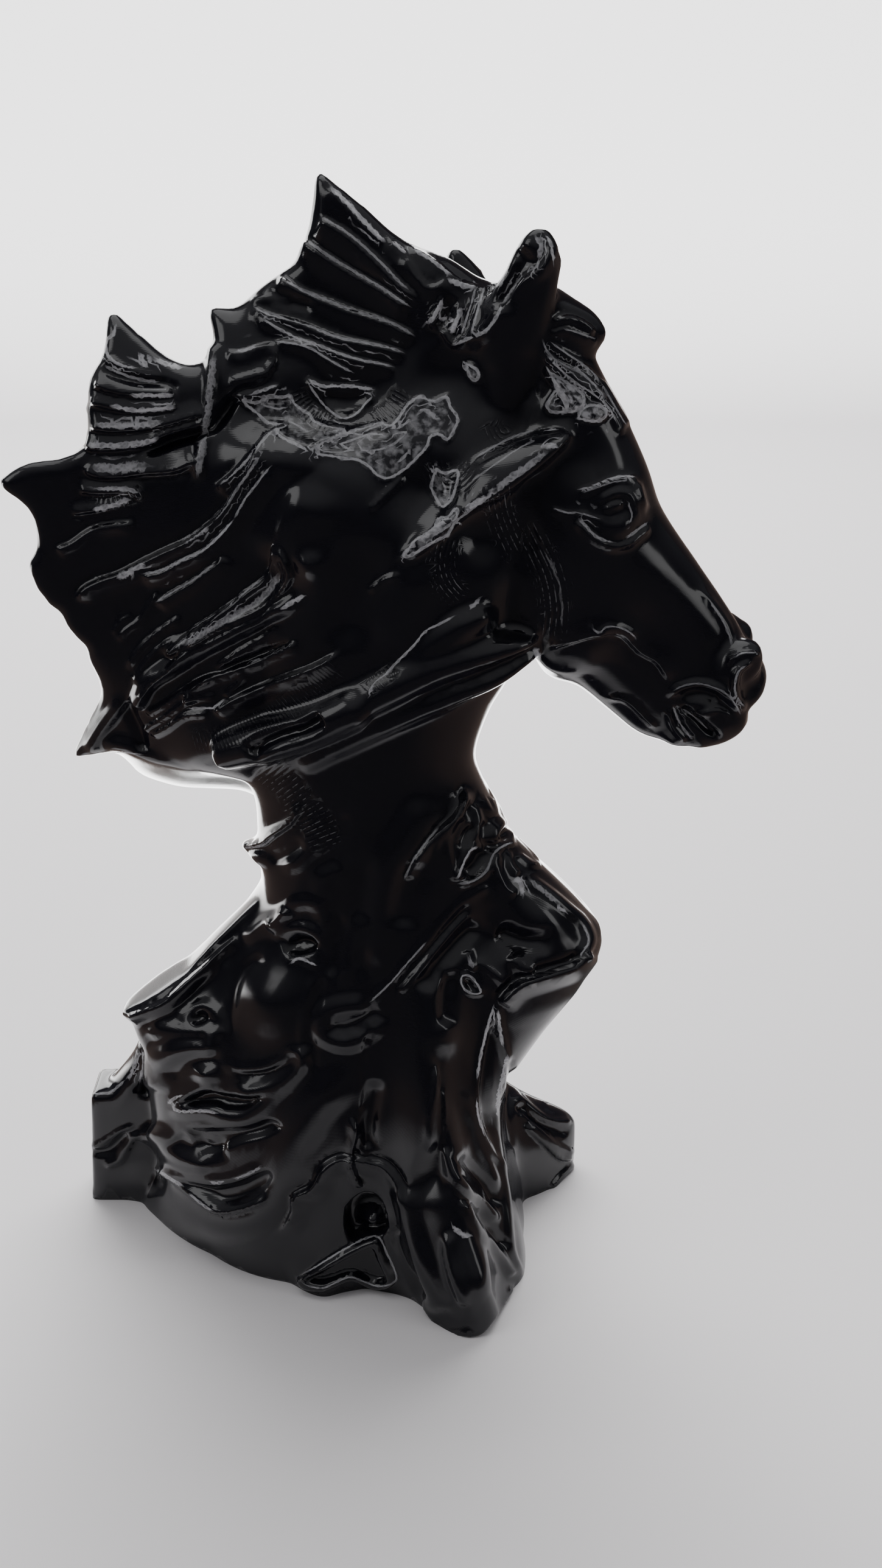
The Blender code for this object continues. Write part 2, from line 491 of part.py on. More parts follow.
maneStrokes = [
    ("lapR", 4.6, 1.5, 0.1, 0.25, [(4.4, 208.8), (9, 206), (13, 202.5), (17, 198.5), (22.5, 193)]),
    ("lapR", 4.8, 1.6, 0.1, 0.25, [(2, 204.4), (8.5, 200), (12.5, 197.5), (17, 195), (20.8, 192)]),
    ("lapR", 4.6, 1.6, 0.1, 0.25, [(-3, 198), (1, 196), (4.5, 194.5), (8.5, 192.5), (12.5, 190.5),
                                   (21.5, 187.2)]),
    ("lapR", 4.0, 1.5, 0.1, 0.25, [(-8, 193), (-3, 191.4), (2, 189), (7.5, 187.4), (12.5, 187),
                                   (19.5, 184.3)]),
    ("lapR", 3.4, 1.3, 0.15, 0.25, [(-6.5, 191), (0, 187.5), (4, 185), (8, 183.5), (17, 182)]),
    ("lapR", 3.4, 1.2, 0.15, 0.3, [(-13, 188.2), (-8.5, 187), (-3.5, 187), (2, 185.5), (10, 181)]),
    ("groove", 1.6, 0.9, 0.2, 0.3, [(-12, 181), (-7, 181.6), (-3, 183.4)]),
    ("lapR", 3.0, 1.1, 0.2, 0.3, [(-12.5, 177.6), (-7.5, 178.4), (-2.5, 180.2)]),
    ("ridge", 1.5, 0.8, 0.3, 0.3, [(-2.6, 174.2), (2, 172.2), (8, 171.6)]),
    ("groove", 1.8, 1.0, 0.3, 0.3, [(4.5, 211), (10, 207.5), (15.5, 202.8), (21, 199.5), (28, 197)]),
    ("groove", 1.4, 0.9, 0.2, 0.2, [(32, 197), (31, 192), (30, 187)]),
    ("groove", 1.4, 0.9, 0.2, 0.2, [(29.4, 198), (28.2, 192.6), (27, 187.4)]),
    ("groove", 1.4, 0.9, 0.2, 0.2, [(34.2, 196), (33.4, 191.6), (32, 188.2)]),
    ("groove", 1.4, 0.8, 0.2, 0.2, [(26.4, 198.6), (25.2, 193), (24, 188)]),
    ("lap", 5.0, 1.3, 0.2, 0.3, [(20.5, 186), (27.8, 185.6), (32.8, 187.8), (36.6, 191)]),
    ("lap", 3.4, 1.5, 0.1, 0.15, [(-35, 182.6), (-30, 181), (-25, 179.2), (-20.5, 178)]),
    ("lap", 3.2, 1.5, 0.1, 0.15, [(-37, 178.6), (-30.5, 176.8), (-25, 175.8), (-20, 176.2)]),
    ("lap", 3.2, 1.5, 0.1, 0.15, [(-38, 174.6), (-30.5, 172.6), (-25, 172.4), (-19.5, 173.8)]),
    ("lap", 3.2, 1.5, 0.1, 0.15, [(-38, 170.4), (-28, 168.8), (-21, 170), (-14.5, 172.6)]),
    ("lap", 3.4, 1.7, 0.1, 0.15, [(-38.5, 167.6), (-31.5, 165.6), (-24.5, 166.4), (-17, 169.2),
                                  (-12, 173.4),
                                  (-9.5, 176.6)]),
    ("lap", 3.4, 1.6, 0.1, 0.2, [(-52, 161.4), (-44, 162.6), (-38, 161.6), (-31.5, 160.6), (-25, 161.6),
                                 (-18.5, 164.8)]),
    ("lap", 3.2, 1.5, 0.1, 0.2, [(-49.5, 157.8), (-43, 158.6), (-37.5, 158.6), (-31.5, 158.4),
                                 (-25.5, 160)]),
    ("lap", 3.4, 1.2, 0.1, 0.3, [(-45, 153), (-38.5, 155.6), (-32, 156.6), (-26, 156.8)]),
    ("groove", 2.0, 1.0, 0.2, 0.3, [(-14, 191), (-15.5, 183), (-17, 174), (-19.5, 163)]),
    ("lapR", 4.4, 1.5, 0.1, 0.3, [(-49, 142), (-43, 146.5), (-41, 150), (-38.5, 152), (-34.5, 153.5),
                                  (-29, 154.6)]),
    ("lapR", 3.0, 1.1, 0.1, 0.3, [(-47.5, 140.6), (-43, 144.2), (-39, 147.8)]),
    ("lapR", 5.0, 1.8, 0.08, 0.2, [(-45.5, 137), (-41, 141), (-37.5, 143), (-33, 145.5), (-27, 148),
                                  (-21.5, 150.5), (-17, 154), (-13.5, 158), (-10, 162), (-6.5, 166.5),
                                  (-2, 172)]),
    ("lapR", 4.4, 1.7, 0.1, 0.2, [(-29.5, 144.2), (-25, 146), (-19.5, 149), (-14.5, 152.5), (-11, 156),
                                  (-9, 161),
                                  (-5, 168)]),
    ("lapR", 3.8, 1.3, 0.15, 0.3, [(-27.5, 139), (-21, 142.5), (-17.5, 145.5), (-14, 148.6)]),
    ("lap", 3.8, 1.6, 0.15, 0.2, [(-26.5, 129), (-21.5, 133), (-16.5, 136), (-11, 139.5), (-6, 143),
                                  (-3.5, 149)]),
    ("lapR", 3.8, 1.6, 0.15, 0.2, [(-29, 128), (-22.5, 130.5), (-17, 133.5), (-11, 136.5), (-5.5, 139.5),
                                   (-1.5, 143.5), (-0.8, 150)]),
    ("lapR", 4.6, 1.7, 0.1, 0.25, [(-35, 115.5), (-32.5, 121), (-27.5, 126), (-21.5, 130), (-16, 133),
                                   (-11, 135.5), (-5.5, 137.5), (1, 140.8)]),
    ("lapR", 2.6, 1.1, 0.15, 0.3, [(-42, 130), (-39, 135.6), (-34.5, 139), (-31.5, 143)]),
    ("lapR", 2.8, 1.2, 0.15, 0.3, [(-40, 125.6), (-36, 131.5), (-32, 135), (-27.5, 138)]),
    ("lapR", 2.8, 1.1, 0.15, 0.3, [(-39.5, 122), (-34.5, 128.5), (-30.5, 132), (-28, 133.5)]),
    ("lapR", 3.8, 1.4, 0.15, 0.3, [(-31, 117.4), (-24.5, 121), (-18.5, 124.5), (-9, 128.5), (-1, 132)]),
    ("lapR", 3.2, 1.3, 0.15, 0.3, [(-32.5, 113.6), (-28, 117), (-22, 120.5), (-18.5, 124), (-15, 128.5),
                                   (-10, 132.6)]),
    ("lapR", 4.6, 1.6, 0.15, 0.3, [(-33, 112.6), (-23.5, 117.6), (-15.5, 119.5), (-6, 125), (0, 126.5),
                                   (8, 130)]),
    ("groove", 1.8, 1.2, 0.2, 0.3, [(-34.5, 127), (-34.6, 119.5), (-33.6, 113.5), (-31, 108)]),
    ("ridge", 2.2, 1.2, 0.3, 0.3, [(-44.5, 109), (-39.5, 113), (-36, 119)]),
    ("ridge", 6.0, 1.6, 0.3, 0.3, [(-30, 112.4), (-20, 112.6), (-10, 115)]),
    ("lap", 11.0, 3.0, 0.12, 0.25, [(29, 174.6), (22.5, 172.6), (16.5, 166), (10, 165.6), (4.5, 168.4),
                                    (-1.5, 175.6), (-7, 177.2), (-12, 176.4)]),
    ("ridge", 7.0, 1.6, 0.3, 0.3, [(-7, 146), (0, 155), (5, 162)]),
    ("groove", 7.0, 1.8, 0.3, 0.3, [(7, 128), (10, 140), (12, 152)]),
    ("ridge", 6.0, 1.2, 0.3, 0.3, [(16, 128), (20, 140), (22, 148)]),
]

baseStrokes = [
    ("groove", 1.7, 1.2, 0.2, 0.2, [(12.1, 84.5), (11.8, 73.5), (11.2, 56.4)]),
    ("ridge", 5.0, 1.6, 0.2, 0.25, [(19.5, 101), (16.5, 90), (15, 76), (13.4, 62)]),
    ("groove", 3.0, 1.5, 0.2, 0.3, [(30, 98), (26, 89), (21.8, 78), (18.6, 69)]),
    ("lapR", 7.0, 2.4, 0.15, 0.15, [(35, 86), (32, 82), (27.5, 75), (22.5, 69.5), (16.5, 62),
                                    (10.5, 53)]),
    ("ridge", 3.4, 2.2, 0.2, 0.2, [(15.1, 57.5), (10.1, 53.4), (3.7, 52), (1.1, 47.5), (2.5, 42.7),
                                   (6.6, 41.2), (11.2, 43.9)]),
    ("groove", 2.2, 1.5, 0.3, 0.3, [(10, 48.7), (6.1, 46), (3.8, 45.7)]),
    ("groove", 2.6, 1.2, 0.3, 0.3, [(29, 82.1), (31.8, 84), (34.8, 87.8)]),
    ("lapR", 4.0, 1.6, 0.2, 0.2, [(2.6, 104), (-1.5, 97), (-4.5, 90), (-8.6, 86)]),
    ("groove", 3.0, 1.2, 0.2, 0.3, [(7, 103), (3.5, 95.5), (-1.5, 87), (-5.5, 81.5)]),
    ("ridge", 2.6, 1.8, 0.15, 0.2, [(29.5, 96), (27.4, 88), (28.2, 81.4), (33, 81.6), (38, 86.4),
                                    (43, 89.6)]),
    ("ridge", 2.0, 1.2, 0.3, 0.3, [(32.5, 99.5), (31.5, 93), (33.5, 88.4)]),
    ("ridge", 2.4, 1.5, 0.2, 0.2, [(41.8, 87.2), (45, 82.3), (48.6, 77.4), (52.1, 72.6)]),
    ("groove", 4.0, 2.0, 0.2, 0.3, [(33.6, 84.2), (38.4, 79.2), (45, 76.8), (50.5, 77)]),
    ("ridge", 3.4, 1.4, 0.2, 0.2, [(36, 88.6), (43, 83), (49, 77), (55.5, 71)]),
    ("lap", 7.0, 2.6, 0.12, 0.15, [(35.3, 38.5), (36.7, 50.2), (38.9, 56.1), (45.1, 60.4),
                                   (52.1, 65.6), (54.7, 69.3)]),
    ("groove", 5.0, 2.2, 0.2, 0.25, [(42.5, 50), (48, 54.5), (53, 59.5)]),
    ("ridge", 1.7, 1.8, 0.1, 0.15, [(36.7, 53.4), (34.3, 44.5), (33.1, 33.9), (33.4, 24.6),
                                    (35.6, 15.1), (38.1, 7.8)]),
    ("groove", 2.2, 1.8, 0.15, 0.15, [(36.8, 46), (35.6, 35.5), (35.6, 24.6), (37.2, 16.7)]),
    ("ridge", 1.8, 1.9, 0.1, 0.08, [(38.7, 52), (38.1, 41.5), (38.7, 30.8), (37.8, 24.6), (39, 13.5),
                                    (40.1, 3.7), (42.1, -9.6), (44.1, -19.9)]),
    ("groove", 3.0, 2.0, 0.2, 0.2, [(40.8, 30.8), (40.5, 21.5), (41.2, 8.6)]),
    ("ridge", 5.0, 2.0, 0.2, 0.2, [(21.3, 47.5), (15.5, 38.5), (11.2, 29.3), (9.7, 19.9)]),
    ("groove", 5.0, 3.0, 0.2, 0.2, [(22.6, 39.3), (18.9, 29.3), (16.7, 16.7), (17.7, 5.4)]),
    ("ridge", 2.6, 1.8, 0.2, 0.2, [(25.4, 37), (24.2, 26.2), (23.3, 13.5), (24.2, 3.7), (27.1, -9.6),
                                   (31.2, -21.6)]),
    ("groove", 3.2, 2.2, 0.2, 0.2, [(28.7, 35.5), (27.5, 21.5), (28, 12.7)]),
    ("ridge", 2.6, 1.8, 0.2, 0.2, [(30.8, 32.4), (32.1, 23), (34, 13.5), (36.1, 3.7), (37.9, -1.6)]),
    ("groove", 2.6, 1.5, 0.2, 0.2, [(36.6, -2.9), (38.9, -9.6), (40.9, -16.5)]),
    ("lap", 4.0, 1.6, 0.15, 0.1, [(18.7, -2.1), (21, -13), (23.2, -19.9), (27.1, -26.9),
                                  (30.2, -30.8), (35.4, -31.5), (38.2, -28.7), (40.3, -24.6),
                                  (42.8, -20.6)]),
    ("groove", 1.8, 1.2, 0.2, 0.2, [(44.3, 24.3), (49.3, 20.2), (53.7, 17.3)]),
    ("lap", 6.0, 1.3, 0.15, 0.15, [(6, 14.3), (1.4, 13.2), (-1.6, 8.3), (-5.5, 2.9), (-7.6, -2.1),
                                   (-6.6, -6.2), (-9.3, -11.7)]),
    ("lapR", 5.0, 1.2, 0.15, 0.2, [(9.8, 13.5), (13.5, 12.2), (17.1, 7), (19.2, 3.4), (18.7, -0.4)]),
    ("ridge", 2.6, 1.5, 0.2, 0.3, [(-18.2, 60.4), (-23.6, 58.4), (-26.8, 55.2), (-27.9, 53.1)]),
    ("ridge", 1.8, 1.8, 0.15, 0.2, [(-14.4, 67.4), (-9.3, 70.4), (-7.2, 73.5), (-5.2, 75.3),
                                    (-2.7, 76), (-0.3, 74.6), (1, 71), (2.2, 67)]),
    ("groove", 2.6, 1.7, 0.2, 0.25, [(-10.2, 61.3), (-15.4, 56.1), (-18, 47.5), (-19.3, 43.6)]),
    ("groove", 2.0, 1.5, 0.2, 0.25, [(-1.3, 60.4), (-2.5, 52), (-3.2, 42.7)]),
    ("ridge", 2.4, 1.8, 0.15, 0.2, [(4.4, 66.7), (1.7, 59.3), (0, 50.5), (-1.4, 41.5), (-0.3, 34.8)]),
    ("ridge", 1.8, 1.4, 0.2, 0.2, [(-28, 47.8), (-25.5, 50.8), (-21.9, 51.8), (-19.4, 49.3),
                                   (-19.1, 45.7)]),
    ("ridge", 1.8, 1.4, 0.1, 0.2, [(-40, 49.3), (-35.4, 50.5), (-31.4, 53.4), (-27.5, 55.6)]),
    ("ridge", 1.7, 1.6, 0.15, 0.15, [(-20.1, 39.4), (-13.1, 40.9), (-7.7, 42.4), (-5.2, 41.2),
                                     (-4.2, 38.2), (-5.2, 34.5), (-8.6, 31.8), (-13.6, 30.4),
                                     (-17.4, 31.2)]),
    ("ridge", 2.0, 2.2, 0.1, 0.15, [(-32.3, 27.1), (-29.4, 25.2), (-24.2, 24.8), (-20.1, 23.5),
                                    (-15.8, 24.5), (-11.1, 28.4), (-5.5, 31.6)]),
    ("ridge", 2.6, 1.5, 0.2, 0.25, [(-35.5, 15.4), (-30.2, 12.5), (-24.6, 9)]),
    ("lapR", 5.0, 1.9, 0.1, 0.15, [(-30.6, 6), (-27.2, 1.3), (-23.9, -1.4), (-19, -1.4), (-14.1, 1.1),
                                   (-10.8, 4.1), (-7.9, 10.3), (-5.6, 16.7), (-3.5, 23), (-0.2, 29.3),
                                   (4.6, 34.7)]),
    ("ridge", 5.0, 1.8, 0.2, 0.25, [(-41.6, 9.5), (-37.6, 1.3), (-31.3, -4.6), (-23.4, -7.9),
                                    (-16.7, -8.8), (-11.2, -6.2)]),
    ("groove", 3.4, 1.3, 0.2, 0.25, [(-8.8, -12.3), (-4.8, -14.7), (3.4, -11.7)]),
    ("ridge", 1.8, 1.4, 0.2, 0.2, [(-43.7, 15.1), (-41, 18.9), (-37.7, 17.7), (-35.1, 14.3)]),
]

# Rounded swellings and hollows: place, reach along x and z, turn in degrees, height
headSwells = [
    (58.4, 155.2, 3.6, 3.2, 20, -1.0), (58.4, 155.4, 2.5, 2.3, 20, 1.1), (40.5, 141, 4.6, 8.5, 10, -0.8),
    (85.4, 122.4, 2.0, 3.6, -12, -1.2), (52, 166, 5.5, 5.0, 0, -1.0), (62.5, 155, 1.3, 2.0, 10, 0.5),
    (64.0, 133, 7.0, 6.0, 40, -0.9), (76.8, 117.4, 2.6, 1.8, 30, 0.6), (73.6, 113.6, 2.6, 1.8, 30, 0.6),
]
maneSwells = [
    (-8, 175, 6, 4, 0, -1.6), (0, 160, 9, 11, -20, 2.0), (2, 146, 5, 6, 0, 1.4), (24, 160, 7, 6, 30, -3.0),
    (26, 181, 7, 6, 0, -2.6), (10, 176, 12, 5, 0, -1.6), (-20, 116, 12, 6, 10, 1.4),
    (34, 151, 5, 5, 30, -2.2),
]
baseSwells = [
    (-9.3, 52.3, 6.5, 8.5, 8, 2.6), (37, 68, 7, 7, 0, -4.0), (33, -2, 6, 10, 20, 0.8),
    (46, 72, 6, 6, 0, 1.4), (4, 74, 5, 10, 0, -0.8), (-18, 20, 9, 7, 8, -2.2), (-18, 33, 8, 3.0, 0, -1.8),
    (-28, 33, 4.0, 3.0, 0, -1.6), (9.5, -0.5, 4.2, 5.2, 0, -3.4), (-23.4, 34.5, 2.4, 2.2, 0, 1.6),
    (-36, 19.6, 3.0, 2.2, 0, 1.4), (-1.5, 3.7, 5, 6, 0, 0.8),
]


# How much a stroke lifts the surface at each distance from its path
def strokeProfile(kind, offset, width):
    if kind in ("ridge", "groove"):
        band = np.clip(1 - (offset / width) ** 2, 0, 1) ** 2
        return band if kind == "ridge" else -band
    offset = -offset if kind == "lapR" else offset
    crisp = min(edgeWidth, width / 4)
    raised = np.clip(1 - np.clip(offset, 0, None) / width, 0, 1) ** 1.6
    sunk = -0.5 * np.clip(1 + np.clip(offset, None, 0) / (width * 0.55), 0, 1) ** 2
    step = ease(0.5 + offset / (2 * crisp))
    return sunk * (1 - step) + raised * step


# How far the strokes lift each seen place
def strokeLift(seen, strokes):
    lift = np.zeros(len(seen))
    for kind, width, height, fadeIn, fadeOut, points in strokes:
        path = smoothPath(points)
        low, high = path.min(axis=0) - width, path.max(axis=0) + width
        near = np.nonzero(np.all((seen > low) & (seen < high), axis=1))[0]
        if not len(near):
            continue
        distance, side, share = nearestOnPath(seen[near], path)
        fade = ease(share / max(fadeIn, 0.01)) * ease((1 - share) / max(fadeOut, 0.01))
        lift[near] += height * fade * strokeProfile(kind, distance * side, width)
    return lift


def swellLift(seen, swells):
    lift = np.zeros(len(seen))
    for x, z, alongX, alongZ, turn, height in swells:
        c, s = math.cos(math.radians(turn)), math.sin(math.radians(turn))
        across, up = seen[:, 0] - x, seen[:, 1] - z
        spread = ((across * c - up * s) / alongX) ** 2 + ((across * s + up * c) / alongZ) ** 2
        lift += height * np.exp(-spread)
    return lift


# Carves both sides: the far side repeats the near one, its hair and cloth a little softer
def carve(form):
    points = pointsOf(form)
    normals = normalsOf(form)
    moved = np.zeros(len(points))
    for far, soft in ((False, 1.0), (True, 0.85)):
        facing = normals[:, 1] if far else -normals[:, 1]
        weight = ease(0.5 + facing * 1.6)
        seen = seenPlaces(points, far)
        lift = strokeLift(seen, headStrokes) + swellLift(seen, headSwells)
        lift += soft * (strokeLift(seen, maneStrokes) + swellLift(seen, maneSwells))
        lift += soft * (strokeLift(seen, baseStrokes) + swellLift(seen, baseSwells))
        moved += weight * lift
    putPoints(form, points + normals * moved[:, None])


def joinForms():
    bm = bmesh.new()
    for form in list(guides.objects):
        bm.from_mesh(form.data)
        bpy.data.objects.remove(form)
    return keepForm("horse_head_sculpture", bm)


# Drops sealed pockets and crumbs, so that one outer skin is left
def keepOuterSkin(form):
    bm = bmesh.new()
    bm.from_mesh(form.data)
    bm.verts.ensure_lookup_table()
    reached = np.zeros(len(bm.verts), bool)
    skins = []
    for first in bm.verts:
        if reached[first.index]:
            continue
        reached[first.index] = True
        skin = [first]
        for vertex in skin:
            for edge in vertex.link_edges:
                other = edge.other_vert(vertex)
                if not reached[other.index]:
                    reached[other.index] = True
                    skin.append(other)
        skins.append(skin)
    skins.sort(key=len)
    for skin in skins[:-1]:
        bmesh.ops.delete(bm, geom=skin, context="VERTS")
    bm.to_mesh(form.data)
    bm.free()


# Cuts the foot off flat at z = 0, so that the sculpture stands on a true plane
def cutFoot(form):
    bm = bmesh.new()
    bm.from_mesh(form.data)
    everything = bm.verts[:] + bm.edges[:] + bm.faces[:]
    cut = bmesh.ops.bisect_plane(bm, geom=everything, dist=0.0001, plane_co=(0, 0, 0),
                                 plane_no=(0, 0, -1), clear_outer=True)
    rim = [item for item in cut["geom_cut"] if isinstance(item, bmesh.types.BMEdge)]
    bmesh.ops.holes_fill(bm, edges=rim)
    bmesh.ops.triangulate(bm, faces=bm.faces)
    bmesh.ops.recalc_face_normals(bm, faces=bm.faces)
    bm.to_mesh(form.data)
    bm.free()


# Stands the sculpture on the origin at its real height
def bringToSize(form):
    points = pointsOf(form)
    low, high = points.min(axis=0), points.max(axis=0)
    middle = np.array(((low[0] + high[0]) / 2, (low[1] + high[1]) / 2, low[2]))
    putPoints(form, (points - middle) * statueHeight / (high[2] - low[2]))


def glossBlack():
    material = bpy.data.materials.new("gloss black")
    material.use_nodes = True
    shader = material.node_tree.nodes["Principled BSDF"]
    shader.inputs["Base Color"].default_value = (0.011, 0.011, 0.013, 1)
    shader.inputs["Roughness"].default_value = 0.09
    shader.inputs["Metallic"].default_value = 0.0
    return material


for old in list(bpy.data.objects):
    bpy.data.objects.remove(old)

guides = bpy.data.collections.new("guides")
finished = bpy.data.collections.new("horse head sculpture")
for collection in (guides, finished):
    bpy.context.scene.collection.children.link(collection)

makeHead()
makeEars()
makeMane()
makeLocks()
makeBase()
sculpture = joinForms()
evenOut(sculpture, formGrain)
relax(sculpture, 0.5, 3)
carve(sculpture)
evenOut(sculpture, carvedGrain)
keepOuterSkin(sculpture)
relax(sculpture, 0.5, 1)
thin = sculpture.modifiers.new("Thin", "DECIMATE")
thin.ratio = trianglesKept / sum(len(face.vertices) - 2 for face in sculpture.data.polygons)
settle(sculpture)
cutFoot(sculpture)
bringToSize(sculpture)
sculpture.data.materials.append(glossBlack())
sculpture.data.shade_smooth()
guides.objects.unlink(sculpture)
finished.objects.link(sculpture)
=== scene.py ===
import json
import math

import bmesh
import bpy
import numpy as np
from mathutils import Matrix, Vector

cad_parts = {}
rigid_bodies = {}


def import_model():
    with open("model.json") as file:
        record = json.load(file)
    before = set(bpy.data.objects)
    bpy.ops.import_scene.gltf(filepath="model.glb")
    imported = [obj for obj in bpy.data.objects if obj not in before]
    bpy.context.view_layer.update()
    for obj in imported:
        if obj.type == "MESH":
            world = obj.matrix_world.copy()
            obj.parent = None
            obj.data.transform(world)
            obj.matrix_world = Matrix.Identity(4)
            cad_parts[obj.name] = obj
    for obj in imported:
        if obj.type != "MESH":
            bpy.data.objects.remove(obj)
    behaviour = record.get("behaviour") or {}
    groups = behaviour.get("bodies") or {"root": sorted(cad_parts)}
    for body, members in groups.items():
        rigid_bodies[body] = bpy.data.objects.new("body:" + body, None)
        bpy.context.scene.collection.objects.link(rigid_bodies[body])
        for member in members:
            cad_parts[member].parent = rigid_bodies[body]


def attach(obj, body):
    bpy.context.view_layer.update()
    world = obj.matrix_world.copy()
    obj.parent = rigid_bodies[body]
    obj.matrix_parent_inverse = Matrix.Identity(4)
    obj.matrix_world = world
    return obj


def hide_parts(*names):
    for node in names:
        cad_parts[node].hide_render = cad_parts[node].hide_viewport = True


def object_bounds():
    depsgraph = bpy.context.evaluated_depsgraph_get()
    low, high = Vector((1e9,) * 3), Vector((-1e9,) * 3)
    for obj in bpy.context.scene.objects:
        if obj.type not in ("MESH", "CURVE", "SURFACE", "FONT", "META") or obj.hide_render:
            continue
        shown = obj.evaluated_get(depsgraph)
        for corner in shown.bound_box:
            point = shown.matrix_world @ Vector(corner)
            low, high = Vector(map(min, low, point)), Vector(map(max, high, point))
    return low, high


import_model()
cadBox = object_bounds()
print("frame loaded")

# The sculpture is drawn in millimetres, as an onlooker sees it on the plane through the middle of the head
drawing = {
    "middle": 4.0,                         # depth of that plane
    "onlooker": (25.7, -297.1, 240.4),     # where the onlooker's eye is
    "lookDown": 24.67,                     # degrees below level
    "slabHalf": 4.0,                       # half thickness of a flat slab before it is rounded
    "formGrain": 0.9,                      # size of a mesh cell of the joined forms
    "carvedGrain": 0.42,                   # and of the carved surface
    "crisp": 0.4,                          # width of a carved step
    "triangles": 196000,
    "fill": 0.9995,                        # share of the CAD box that it fills
}
middle = drawing["middle"]
eye = np.array(drawing["onlooker"])
lookDistance = middle - eye[1]
workshop = bpy.data.collections.new("workshop")
bpy.context.scene.collection.children.link(workshop)


def smoothPath(points, perSpan=6):         # a smooth open curve through rows of any width
    rows = np.array(points, float)
    padded = np.vstack([2 * rows[0] - rows[1], rows, 2 * rows[-1] - rows[-2]])
    out = []
    for index in range(len(rows) - 1):
        a, b, c, d = padded[index:index + 4]
        for step in range(perSpan):
            t = step / perSpan
            out.append(0.5 * (2 * b + (c - a) * t + (2 * a - 5 * b + 4 * c - d) * t ** 2
                              + (3 * b - a - 3 * c + d) * t ** 3))
    out.append(rows[-1])
    return np.array(out)


def ease(value):
    value = np.clip(value, 0, 1)
    return value * value * (3 - 2 * value)


# Distance, side (+1 on the left) and share of the length of the nearest point of a path
def nearestOnPath(places, path):
    best = np.full(len(places), 1e9)
    side = np.zeros(len(places))
    share = np.zeros(len(places))
    steps = path[1:] - path[:-1]
    lengths = np.linalg.norm(steps, axis=1)
    before = np.concatenate([[0], np.cumsum(lengths)])
    for start, step, length, run in zip(path[:-1], steps, lengths, before):
        offset = places - start
        t = np.clip((offset @ step) / length ** 2, 0, 1)
        apart = offset - t[:, None] * step
        distance = np.hypot(apart[:, 0], apart[:, 1])
        nearer = distance < best
        best[nearer] = distance[nearer]
        side[nearer] = np.sign(step[0] * offset[:, 1] - step[1] * offset[:, 0])[nearer]
        share[nearer] = ((run + t * length) / before[-1])[nearer]
    return best, side, share


def seenPlaces(points, far=False):         # where points show on the drawing, from the near or the far side
    away = points[:, 1] - middle
    reach = 1 + (-away if far else away) / lookDistance
    x = eye[0] + (points[:, 0] - eye[0]) / reach
    z = eye[2] + (points[:, 2] - eye[2]) / reach
    return np.stack([x, z], axis=1)


def atDepth(x, z, y):                      # the point at depth y that shows at (x, z) of the drawing
    reach = 1 + (y - middle) / lookDistance
    return Vector((eye[0] + (x - eye[0]) * reach, y, eye[2] + (z - eye[2]) * reach))


def acrossMiddle(point):
    return Vector((point.x, 2 * middle - point.y, point.z))


def pointsOf(form):
    points = np.empty(len(form.data.vertices) * 3, np.float32)
    form.data.vertices.foreach_get("co", points)
    return points.reshape(-1, 3).astype(float)


def putPoints(form, points):
    form.data.vertices.foreach_set("co", points.astype(np.float32).ravel())
    form.data.update()


def normalsOf(form):
    normals = np.empty(len(form.data.vertices) * 3, np.float32)
    form.data.vertex_normals.foreach_get("vector", normals)
    return normals.reshape(-1, 3).astype(float)


def settle(form):                          # makes a form's modifiers its mesh
    graph = bpy.context.evaluated_depsgraph_get()
    mesh = bpy.data.meshes.new_from_object(form.evaluated_get(graph))
    form.modifiers.clear()
    form.data = mesh


def evenOut(form, grain):
    remesh = form.modifiers.new("Even", "REMESH")
    remesh.mode = "VOXEL"
    remesh.voxel_size = grain
    settle(form)


def relax(form, factor, rounds):
    smooth = form.modifiers.new("Relax", "SMOOTH")
    smooth.factor = factor
    smooth.iterations = rounds
    settle(form)


def keepForm(name, bm):
    bmesh.ops.recalc_face_normals(bm, faces=bm.faces)
    mesh = bpy.data.meshes.new(name)
    bm.to_mesh(mesh)
    bm.free()
    form = bpy.data.objects.new(name, mesh)
    workshop.objects.link(form)
    return form


# A sphere whose rings are moved by place(ring, angle) and whose poles close its ends
def skinOverRings(name, ringCount, sides, place):
    bm = bmesh.new()
    bmesh.ops.create_uvsphere(bm, u_segments=sides, v_segments=ringCount + 1, radius=1)
    for vertex in bm.verts:
        ring = round(math.acos(max(-1, min(1, vertex.co.z))) * (ringCount + 1) / math.pi)
        angle = math.atan2(vertex.co.y, vertex.co.x)
        if 1 <= ring <= ringCount:
            vertex.co = place(ring - 1, angle)
        else:
            end = 0 if ring == 0 else ringCount - 1
            vertex.co = (place(end, 0) + place(end, math.pi)) / 2
    keepForm(name, bm)


def blunt(value, square):
    return math.copysign(abs(value) ** square, value)


# A body between two outlines: rows of low x, low z, high x, high z and half width
def trunk(name, stations, sides=48, perSpan=4, square=0.92):
    rows = smoothPath(stations, perSpan)

    def place(ring, angle):
        lowX, lowZ, highX, highZ, half = rows[ring]
        low = Vector((lowX, middle, lowZ))
        high = Vector((highX, middle, highZ))
        return ((low + high) / 2 + (high - low) / 2 * blunt(math.cos(angle), square)
                + Vector((0, half, 0)) * blunt(math.sin(angle), square))

    skinOverRings(name, len(rows), sides, place)


